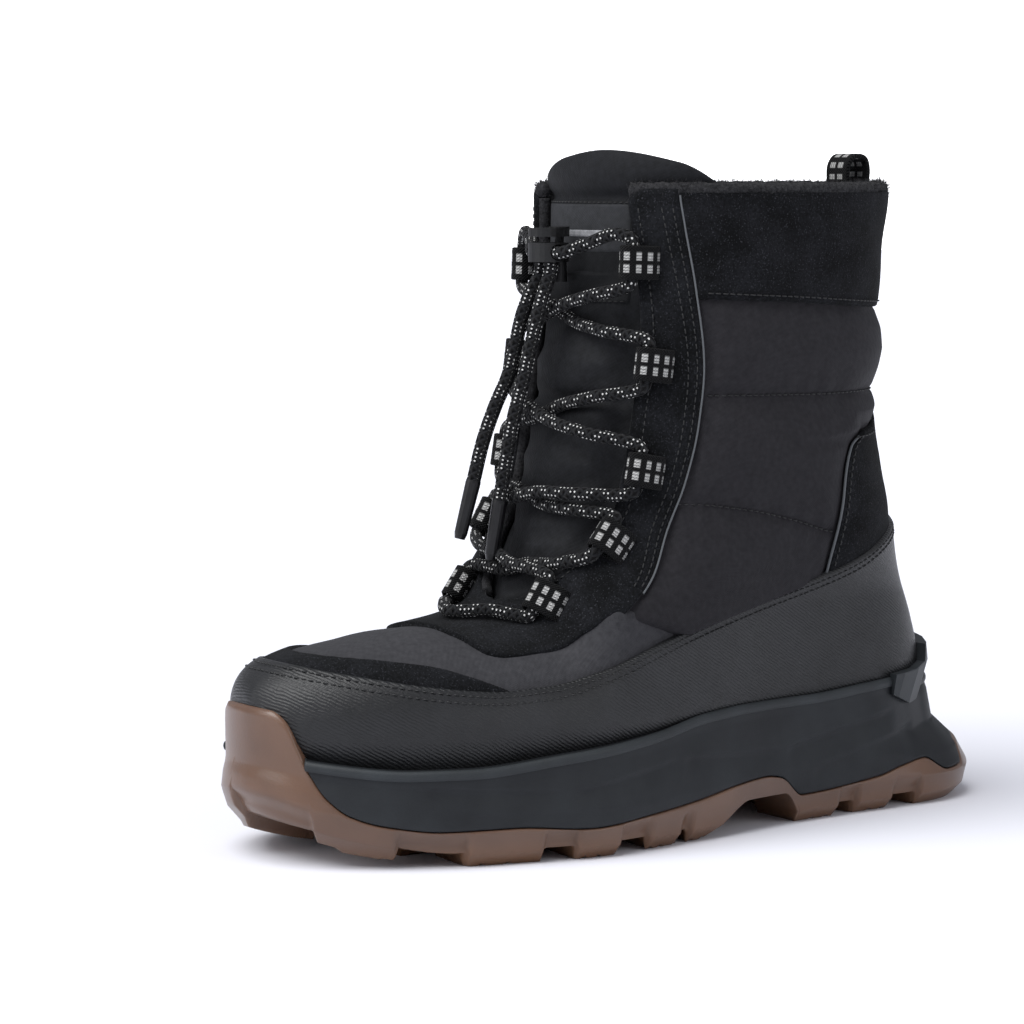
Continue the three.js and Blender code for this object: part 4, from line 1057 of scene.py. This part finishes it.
# %% Lip of the midsole
lip_turn = np.linspace(-0.9, math.pi * 0.75, 12)[:, None]
lip_base = wall_point((lip_z - 1.9)[None], 0.6)[0]
reach, rise = 1.5 * np.cos(lip_turn), 1.9 * np.sin(lip_turn)
lip_points = np.stack([
    lip_base[None, :, 0] + OUTWARD[None, :, 0] * reach, lip_base[None, :, 1] + OUTWARD[None, :, 1] * reach,
    lip_base[None, :, 2] + rise,
], -1)
lip_points += inward * np.where(buried, 3.4, 0.0)
uv = np.stack(np.broadcast_arrays(SOLE_RUN[None], rise), -1).reshape(-1, 2)
faces = grid_faces(12, SOLE_COLUMNS, closed=True)
mesh_piece("midsole_lip", lip_points.reshape(-1, 3), faces, LIP_FOAM, uv)
refinish("heel_clip", LIP_FOAM)
refinish("insole", FLEECE)
print("midsole and lip made")

# %% [markdown]
# ## Tongue
# The tongue is a quilted pad that stands inside the throat and rises above the collar. A seam crosses it
# half way up, the lacing presses soft hollows into it, and its back is fleece. A woven patch with a plain
# light bar is sewn on above the lacing.

# %% Tongue
TONGUE = table("v lateral medial", [
    (6, -48, -48), (7, -36, -36), (8, -22, -22), (9.5, -8, -8), (11, 6, 2), (12.5, 17, 6), (13.8, 29, 6),
])
TONGUE_TOP = table("across v", [
    (0, 12.4), (0.1, 12.75), (0.2, 13.1), (0.28, 13.36), (0.38, 13.55), (0.5, 13.64), (0.75, 13.45),
    (1, 13.0),
])
TONGUE_THICK = 5.6


def tongue_grid(rows, columns):
    share = np.linspace(0, 1, columns)[None, :]
    climb = np.linspace(0, 1, rows)[:, None] ** 0.9
    v = lerp(6.0, along(TONGUE_TOP, "across", "v", share), climb)
    start, end = along(LINES, "v", "frontY", v), along(LINES, "v", "backY", v)

    def angle(side):
        return np.arccos(1 - 2 * np.clip((along(TONGUE, "v", side, v) - start) / (end - start), 0, 1))

    return v, lerp(-angle("medial"), angle("lateral"), share)


LOOPS = {
    "lateral": [(30, 200), (35.5, 165), (36.5, 129), (34.5, 105), (24, 84)],
    "medial": [(-30, 198), (-31, 165), (-31, 131), (-28.5, 107), (-22, 83.5)],
}
BOTH_WAYS = (("lateral", "medial"), ("medial", "lateral"))
STRANDS = [(LOOPS[one][k], LOOPS[other][k + 1]) for k in range(4) for one, other in BOTH_WAYS]


def from_strands(x, z):
    """How far a point of the tongue is from the nearest strand of lace."""
    nearest = np.full(np.shape(x), 99.0)
    for (x0, z0), (x1, z1) in STRANDS:
        dx, dz = x1 - x0, z1 - z0
        share = np.clip(((x - x0) * dx + (z - z0) * dz) / (dx**2 + dz**2), 0, 1)
        nearest = np.minimum(nearest, np.hypot(x - lerp(x0, x1, share), z - lerp(z0, z1, share)))
    return nearest


def tongue_lift(p):
    """Height of the tongue's face over the last: bulge, two seams, folds, and the roll at its top."""
    x, z = p[..., 0], p[..., 2]
    room = np.minimum(along(THROAT, "z", "lateral", z) - x, along(THROAT, "z", "medial", z) + x)
    bulge = 2.6 * ease(1.5, 12, room) * (1 - ease(160, 188, z))
    seam = -2.2 * np.exp(-((z - 153) / 2.6) ** 2) - 1.6 * np.exp(-((z - 106) / 3.0) ** 2)
    folds = 0.45 * np.sin(z / 5.5 + 1.4 * np.sin(x / 9)) * ease(4, 14, room) * (z < 185)
    between = 2.6 * (1 - np.exp(-((from_strands(x, z) / 7) ** 2))) * ease(3, 13, room) * (z < 196)
    roll = 2.2 * np.sin(math.pi * np.clip((z - 222) / 17, 0, 1))
    rolled = roll - 1.2 * np.exp(-(((z - 222.4) / 1.5) ** 2))
    return -WALL - 0.9 + bulge + rolled + between + (seam + folds) * ease(0, 6, room)


rows, columns = 150, 90
v, a = tongue_grid(rows, columns)
p = surface(v, a)
front = on_last(v, a, tongue_lift(p))
rear = on_last(v, a, tongue_lift(p) - TONGUE_THICK)
rim = on_last(v[-1], a[-1], tongue_lift(p[-1]) - TONGUE_THICK / 2)
rim[:, 2] += 0.7
ring = np.concatenate([front, rear[:, ::-1]], axis=1)
crown = np.concatenate([lerp(front[-1], rim, 0.75), lerp(rear[-1], rim, 0.75)[::-1]])
points = np.concatenate([ring, crown[None]]).reshape(-1, 3)
uv = np.concatenate([cloth_coordinates(ring), cloth_coordinates(ring)[-1:]]).reshape(-1, 2)
faces = grid_faces(rows + 1, 2 * columns, closed=True).tolist()
top = rows * 2 * columns
far = top + 2 * columns - 1
faces += [[top + k, top + k + 1, far - 1 - k, far - k] for k in range(columns - 1)]
TONGUE_CLOTH = woven_nylon("tongue_polyester_knit", "#131416", "#1d1e21", 0.8)
tongue = mesh_piece("tongue_pad", points, faces, TONGUE_CLOTH, uv)
tongue.data.materials.append(FLEECE)
is_back = np.array([(f[0] % (2 * columns)) >= columns for f in faces])
tongue.data.polygons.foreach_set("material_index", is_back.astype(np.int32))
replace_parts(tongue, "tongue")
print("tongue top", round(float(points[:, 2].max()), 1), "mm up")

# %% Patch on the tongue
def front_point(x, z):
    """Points and normals of the boot's front at given x and height."""
    x, z = np.broadcast_arrays(np.asarray(x, float), np.asarray(z, float))

    def solve(x, z):
        low, high = along(FRONT, "z", "y", z), np.full(x.shape, 30.0)
        for _ in range(30):
            mid = (low + high) / 2
            reach = np.where(x >= 0, 1, -1) * (x - centre_x(mid))
            under = half_width(mid, z, x >= 0) < reach
            low, high = np.where(under, mid, low), np.where(under, high, mid)
        return (low + high) / 2

    y = solve(x, z)
    dx = (solve(x + 0.6, z) - solve(x - 0.6, z)) / 1.2
    dz = (solve(x, z + 0.6) - solve(x, z - 0.6)) / 1.2
    return np.stack([x, y, z], -1), unit(np.stack([dx, -np.ones(x.shape), dz], -1))


def on_tongue(name, wide, low, high, thick, finish, extra=0.0):
    """A flat woven piece on the tongue, `wide` mm to each side and from z `low` to z `high`."""
    x, z = np.meshgrid(np.linspace(-wide, wide, 90), np.linspace(low, high, max(8, int(high - low) * 2)))
    inside = np.minimum(wide - np.abs(x), np.minimum(z - low, high - z))
    points, out = front_point(x, z)
    rounded = thick * np.sqrt(np.clip(1 - (1 - np.clip(inside / 0.8, 0, 1)) ** 2, 0, 1))
    lifted = points + out * (tongue_lift(points) + extra + rounded)[..., None]
    uv = np.stack([x, z], -1).reshape(-1, 2)
    mesh_piece(name, lifted.reshape(-1, 3), grid_faces(*x.shape), finish, uv)


PATCH_LIGHT = woven_nylon("woven_patch_grey", "#28292b", "#333437", 0.5)
PATCH_DARK = woven_nylon("woven_patch_black", "#121315", "#1a1b1d", 0.5)
BAR = woven_nylon("woven_bar_silver", "#6c6d70", "#9c9da0", 0.5)
on_tongue("tongue_patch", 27.4, 186, 221, 0.5, PATCH_DARK)
on_tongue("tongue_patch_upper", 26.2, 203.5, 219.8, 0.3, PATCH_LIGHT, 0.45)
on_tongue("tongue_patch_bar", 18, 208.6, 211.0, 0.3, BAR, 0.7)
for number, z_line in enumerate((220.4, 186.7), 1):
    points, out = front_point(np.linspace(-26, 26, 80), np.full(80, z_line))
    sewn = points + out * tongue_lift(points)[:, None]
    stitch_row(f"patch_stitches_{number}", sewn, out, 0.6, 2.2, 0.22)
print("patch sewn on")

# %% [markdown]
# ## Fleece collar and lining
# Fleece folds over the top edge as a soft roll about 5 mm thick and lines the whole boot. The roll gets
# nine thousand short fibres, about 1 mm long, because a fleece edge is never sharp against the light.

# %% Collar roll, throat edge and lining
COLLAR_R, COLLAR_SIDES, FIBRES = 2.7, 22, 9000


def fleece_roll(name, route):
    """A tube with an uneven surface, and its fibres as a second piece."""
    tube, faces, uv = tube_mesh(route, COLLAR_R, COLLAR_SIDES)
    rng = np.random.default_rng(3)
    middle = np.repeat(route, COLLAR_SIDES, axis=0)
    out = unit(tube[: len(middle)] - middle)
    tube[: len(middle)] += out * rng.normal(0, 0.16, (len(middle), 1))
    piece = mesh_piece(name, tube, faces, FLEECE, uv)
    pick = rng.integers(0, len(middle), FIBRES)
    root = tube[pick] + rng.normal(0, 0.3, (FIBRES, 3))
    tip = root + (out[pick] + rng.normal(0, 0.55, (FIBRES, 3))) * rng.uniform(0.6, 1.5, (FIBRES, 1))
    wide = rng.normal(0, 0.09, (FIBRES, 3))
    points = np.stack([root - wide, root + wide, tip], 1).reshape(-1, 3)
    faces = np.arange(3 * FIBRES).reshape(-1, 3)
    mesh_piece(name + "_fibres", points, faces, FLEECE, np.zeros((3 * FIBRES, 2)))
    return piece


collar_a = np.linspace(0.1, TURN - 0.1, 420)
collar_a = collar_a[throat_distance(surface(COLLAR, collar_a)) > 0.0]
collar_route = on_last(COLLAR, collar_a, np.full(len(collar_a), -2.2), level=True)
collar_route[:, 2] += 2.5
fleece_roll("collar_roll", collar_route)

for sign, word in ((1, "lateral"), (-1, "medial")):
    z = np.linspace(84.6, 221.5, 150)
    x = sign * (along(THROAT, "z", word, z) + 1.6)
    points, out = front_point(x, z)
    tube_piece(f"throat_edge_{word}", points - out * 2.5, 2.5, 14, FLEECE)
    z = np.linspace(86, 219, 110)
    x = sign * (along(THROAT, "z", word, z) + 3.4)
    points, out = front_point(x, z)
    stitch_row(f"throat_stitches_{word}", points, out, 1.1)

a = np.append(around_even(300), TURN)
v = lerp(np.full_like(a, 0.4), COLLAR, np.linspace(0, 1, 110)[:, None])
a = np.broadcast_to(a, v.shape)
p = surface(v, a)
open_front = throat_distance(p) > 1.5
quads = grid_faces(*v.shape)[:, ::-1]
quads = quads[open_front.ravel()[quads].all(1)]
lining = on_last(v, a, np.full(v.shape, -WALL + 0.2)).reshape(-1, 3)
used, index = np.unique(quads, return_inverse=True)
# The lining is the collar's fleece painted darker: painted shade inside the shaft.
SHADED_LINING_FLEECE = fleece("lining_fleece_painted_shade", "#111112", "#262628")
mesh_piece("fleece_lining", lining[used], index.reshape(-1, 4), SHADED_LINING_FLEECE,
           cloth_coordinates(p).reshape(-1, 2)[used])
print("collar and lining made")

# %% [markdown]
# ## Webbing loops
# Ten loops of 12 mm webbing hold the lace. Each is folded round the lace and sewn in through a slit in
# the suede. White yarns are woven in as two rows of short dashes, each 2 mm long and about 3 mm wide.

# %% Webbing
LOOP_THICK, LOOP_WIDTH, LACE_HOLE = 1.2, 11.6, LACE_D / 2 + 0.35


def webbing_material():
    made, tree, shader = material("woven_polyester_webbing", roughness=0.8, specular=0.12, sheen=0.03)
    u_mm, v_mm, _ = cloth_axes(tree)
    ribs = wave(tree, v_mm, 1.05)
    picks = wave(tree, u_mm, 1.1)
    weave = node(tree, "Math", {0: ribs, 1: picks}, operation="MULTIPLY").outputs[0]
    bump(tree, shader, weave, 0.25)
    off_middle = node(tree, "Math", {0: v_mm}, operation="SUBTRACT", in_1=LOOP_WIDTH / 2)
    off_middle = node(tree, "Math", {0: off_middle.outputs[0]}, operation="ABSOLUTE").outputs[0]
    inner = node(tree, "MapRange", {0: off_middle}, in_1=0.55, in_2=0.85)
    outer = node(tree, "MapRange", {0: off_middle}, in_1=3.7, in_2=3.4)
    dash = node(tree, "Math", {0: u_mm}, operation="PINGPONG", in_1=2.0)
    in_dash = node(tree, "MapRange", {0: dash.outputs[0]}, in_1=0.95, in_2=1.15)
    both = node(tree, "Math", {0: inner.outputs[0], 1: outer.outputs[0]}, operation="MULTIPLY")
    kept = node(tree, "Math", {0: both.outputs[0], 1: in_dash.outputs[0]}, operation="MULTIPLY")
    thin = node(tree, "MapRange", {0: ribs}, in_1=-1.0, in_2=-0.2, in_3=0.3)
    kept = node(tree, "Math", {0: kept.outputs[0], 1: thin.outputs[0]}, operation="MULTIPLY")
    # The colour follows the weave relief, darker where the threads dip: painted shade between the threads.
    base = ramp_mix(tree, weave, "#070708", "#121314")
    colour_with(tree, shader, kept.outputs[0], base, "#b4b4b2")
    return made


WEBBING = webbing_material()


def strap(name, route, wide_way, width, thick, solid):
    """A flat woven strap in place of a solid: its middle line, and the direction across it."""
    wide_way = np.asarray(wide_way, float)
    out = unit(np.cross(unit(np.gradient(route, axis=0)), wide_way))
    w, t = width / 2, thick / 2
    profile = [(-w + 0.3, -t), (-w, 0), (-w + 0.3, t)] + [(s, t) for s in np.linspace(-w + 0.8, w - 0.8, 9)]
    profile += [(w - 0.3, t), (w, 0), (w - 0.3, -t)] + [(s, -t) for s in np.linspace(w - 0.8, -w + 0.8, 9)]
    profile = np.array(profile)
    points = (route[:, None] + profile[:, :1] * wide_way + profile[:, 1:] * out[:, None]).reshape(-1, 3)
    uv = np.stack(np.broadcast_arrays(run_along(route)[:, None], profile[:, 0] + w), -1).reshape(-1, 2)
    n = len(profile)
    faces = grid_faces(len(route), n, closed=True).tolist()
    faces += [list(range(n))[::-1], list(range(len(points) - n, len(points)))]
    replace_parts(mesh_piece(name, points, faces, WEBBING, uv), solid)


# %% Lace loops
LOOP_CENTRE = {}
for word, spots in LOOPS.items():
    for number, (x, z) in enumerate(spots, 1):
        (point,), (out,) = front_point([x], [z])
        (above,), _ = front_point([x], [z + 1])
        up = above - point
        up = unit(up - out * np.dot(up, out))
        away = np.cross(out, up)
        away *= np.sign(away[0] * x) or 1
        centre = point + out * (0.6 + LOOP_THICK + LACE_HOLE)
        LOOP_CENTRE[word, number] = (centre, out, up, away)
        r = LACE_HOLE + LOOP_THICK / 2
        turn = np.linspace(-0.5 * math.pi, -1.72 * math.pi, 26)
        bend = centre + np.cos(turn)[:, None] * away * r + np.sin(turn)[:, None] * out * r
        leave = unit(bend[-1] - bend[-2])
        over = bend[-1] + leave * np.array([1.5, 3.0, 4.5])[:, None]
        dive = over[-1] + away * np.array([1.5, 2.6])[:, None] - out * np.array([1.6, 4.2])[:, None]
        under = centre + away * np.array([7.5, 4.0])[:, None] - out * r
        folded = np.concatenate([under, bend, over, dive])
        solid = f"lace_loop_{word}_{number}"
        strap(f"webbing_loop_{word}_{number}", folded, up, LOOP_WIDTH, LOOP_THICK, solid)
print(len(LOOP_CENTRE), "loops")

# %% Pull loop
PULL_LINE = [(-4.6, -6), (-4.6, 0), (-4.9, 6), (-4.6, 11), (-2.4, 14), (0.6, 14.6), (3.6, 13.4), (4.8, 9.6),
             (4.2, 4), (3.4, 0), (3.4, -6)]
PULL_THICK = 1.6
top_back = surface(COLLAR, math.pi)
shift = float(top_back[1]) + 0.3 + PULL_THICK / 2 - PULL_LINE[-1][0]
route = smooth_route([(float(top_back[0]), shift + y, float(top_back[2]) + z) for y, z in PULL_LINE], 0.8)
strap("heel_pull_loop", route[::-1], (1, 0, 0), 12, PULL_THICK, "pull_loop")

# %% [markdown]
# ## Lacing
# One lace runs through all ten loops in a zigzag. It starts in the cord lock, goes out to the top outer
# loop, crosses the tongue from loop to loop down to the bar at the bottom, and climbs back on the other
# side. At each crossing one strand lies over the other, half a centimetre apart.

# %% Lace through the loops
def above_front(x, z, height):
    (point,), (out,) = front_point([x], [z])
    return point + out * height


CROSS_HEIGHT = {1: 0.2, 2: 2.0, 3: 2.0, 4: 2.6}
LOOP_REACH = 7.5
TIGHT_R = 2.25


def through(word, number, order):
    centre, _, up, _ = LOOP_CENTRE[word, number]
    stops = [centre + up * LOOP_REACH, centre + up * 3, centre - up * 3, centre - up * LOOP_REACH]
    return stops if order == "down" else stops[::-1]


def crossing(number, start_word, over):
    """Points between loop `number` on one side and the next loop down on the other side."""
    end_word = "medial" if start_word == "lateral" else "lateral"
    (x0, z0), (x1, z1) = LOOPS[start_word][number - 1], LOOPS[end_word][number]
    middle = (z0 + z1) / 2
    height = CROSS_HEIGHT[number] + (2.55 if over else -2.45)
    return [
        above_front(x0 * 0.6, lerp(z0 - LOOP_REACH, middle, 0.42), lerp(4.2, height, 0.55)),
        above_front(x0 * 0.2, lerp(z0, middle, 0.86), height),
        above_front(x1 * 0.2, lerp(z1, middle, 0.86), height),
        above_front(x1 * 0.6, lerp(z1 + LOOP_REACH, middle, 0.42), lerp(4.2, height, 0.55)),
    ]


def half_lace(first):
    """From the top loop on the side `first` down to a bottom loop, changing sides at each crossing."""
    word, points = first, []
    for number in range(1, 6):
        points += through(word, number, "down")
        if number < 5:
            points += crossing(number, word, over=(first == "lateral"))
            word = "medial" if word == "lateral" else "lateral"
    return points


def from_lock(sign):
    mouth = np.array([LOCK_X, LOCK_Y - 0.6, 203.1])
    return [mouth + (sign * 3.4, 0, 0), mouth + (sign * 8.8, 0, 0), above_front(sign * 15.5, 206, 4.4),
            above_front(sign * 25, 209.5, 4.2)]


down, up_again = half_lace("lateral"), half_lace("medial")[::-1]
bar = [above_front(x, z, h) for x, z, h in ((13, 77.5, 4.4), (0, 76.8, 4.0), (-13, 77.5, 4.4))]
whole = from_lock(1) + down + bar + up_again + from_lock(-1)[::-1]
route = smooth_route(whole, 0.9)
lace = tube_piece("lace_through_loops", route, TIGHT_R, 16, BRAID)
crossings = [f"lace_cross_{k}" for k in CROSS_HEIGHT]
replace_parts(lace, *crossings, "lace_bar_bottom", "lace_top_lateral", "lace_top_medial")
print("lace through the loops", round(len(route) * 0.9), "mm")

# %% [markdown]
# ## Cord lock and lace tips
# The cord lock and the tips are injection moulded plastic: matt black with a fine spark-eroded grain.
# Their shapes come from the solid model, so only the finish is added.

# %% Moulded plastic
def moulded_plastic(name, colour, roughness):
    made, tree, shader = material(name, roughness=roughness, specular=0.35)
    place = position_mm(tree)
    tree.links.new(ramp_mix(tree, noise(tree, place, 6, 2), *colour), shader.inputs["Base Color"])
    bump(tree, shader, noise(tree, place, 0.5, 2), 0.06, 0.6)
    return made


NYLON_PLASTIC = moulded_plastic("moulded_nylon_pa6", ("#0b0b0c", "#131415"), 0.5)
TIP_PLASTIC = moulded_plastic("moulded_lace_tip", ("#0e0e10", "#18181a"), 0.3)
for name in ("lock_body", "lock_button"):
    refinish(name, NYLON_PLASTIC)
for name in ("aglet_a", "aglet_b"):
    refinish(name, TIP_PLASTIC)
print("lock and tips finished")

# %% [markdown]
# ## Light, floor and dome
# The boot stands on matt white paper inside a white dome. A sun with a wide angle lights it from the front
# and above, with one panel in front and one on the outer side towards the heel. The paper glows a little
# more with distance, so that floor and dome meet without a line. The dome is only there to be looked at:
# it casts no light, so black suede is not washed out by its reflection.

# %% Floor, dome, world and lights
def backdrop(name, colour, strength=0.0):
    made, _, shader = material(name, roughness=0.9, specular=0.0)
    shader.inputs["Base Color"].default_value = paint(colour)
    shader.inputs["Emission Color"].default_value = paint(colour)
    shader.inputs["Emission Strength"].default_value = strength
    return made


def stage_piece(name, points, faces, finish):
    made = bpy.data.meshes.new(name)
    made.from_pydata(points, [], faces)
    made.materials.append(finish)
    piece = bpy.data.objects.new(name, made)
    bpy.context.scene.collection.objects.link(piece)
    return piece


PAPER = backdrop("matt_paper", "#e9eaf1")
tree = PAPER.node_tree
place = node(tree, "NewGeometry").outputs["Position"]
away = node(tree, "VectorMath", {0: place}, operation="LENGTH").outputs["Value"]
glow = node(tree, "MapRange", {0: away}, in_1=0.25, in_2=1.3, in_3=0.0, in_4=0.3).outputs[0]
tree.links.new(glow, tree.nodes["Principled BSDF"].inputs["Emission Strength"])
stage_piece("floor", [(-9, -9, 0), (9, -9, 0), (9, 9, 0), (-9, 9, 0)], [(0, 1, 2, 3)], PAPER)
DOME_R = 8.5
rise = np.linspace(-0.05, math.pi / 2, 24)[:, None]
turn = np.linspace(0, TURN, 48, endpoint=False)[None]
shell = np.broadcast_arrays(np.cos(rise) * np.cos(turn), np.cos(rise) * np.sin(turn), np.sin(rise))
dome_points = (np.stack(shell, -1) * DOME_R).reshape(-1, 3).tolist()
faces = grid_faces(24, 48, closed=True).tolist()
dome = stage_piece("dome", dome_points, faces, backdrop("lit_white_cloth", "#ffffff", 1.0))
for ray in ("diffuse", "glossy", "transmission", "volume_scatter", "shadow"):
    setattr(dome, "visible_" + ray, False)

scene = bpy.context.scene
scene.view_settings.view_transform = "Standard"
scene.world = bpy.data.worlds.new("studio")
scene.world.use_nodes = True
sky = scene.world.node_tree.nodes["Background"].inputs
sky["Color"].default_value = paint("#f3f5ff")
sky["Strength"].default_value = 0.38


def lamp(name, kind, place, power, spread):
    made = bpy.data.lights.new(name, kind)
    made.energy = power
    if kind == "SUN":
        made.angle = math.radians(spread)
    else:
        made.size = spread
    light = bpy.data.objects.new(name, made)
    light.location = place
    light.rotation_euler = (Vector((0, 0, 0.1)) - Vector(place)).to_track_quat("-Z", "Y").to_euler()
    scene.collection.objects.link(light)


lamp("soft_sun", "SUN", (0.1, -1.1, 2.0), 2.95, 50)
lamp("front_panel", "AREA", (-0.15, -1.5, 0.75), 7.0, 0.9)
lamp("side_panel", "AREA", (1.7, 0.7, 0.9), 6.0, 1.0)
print("stage set")
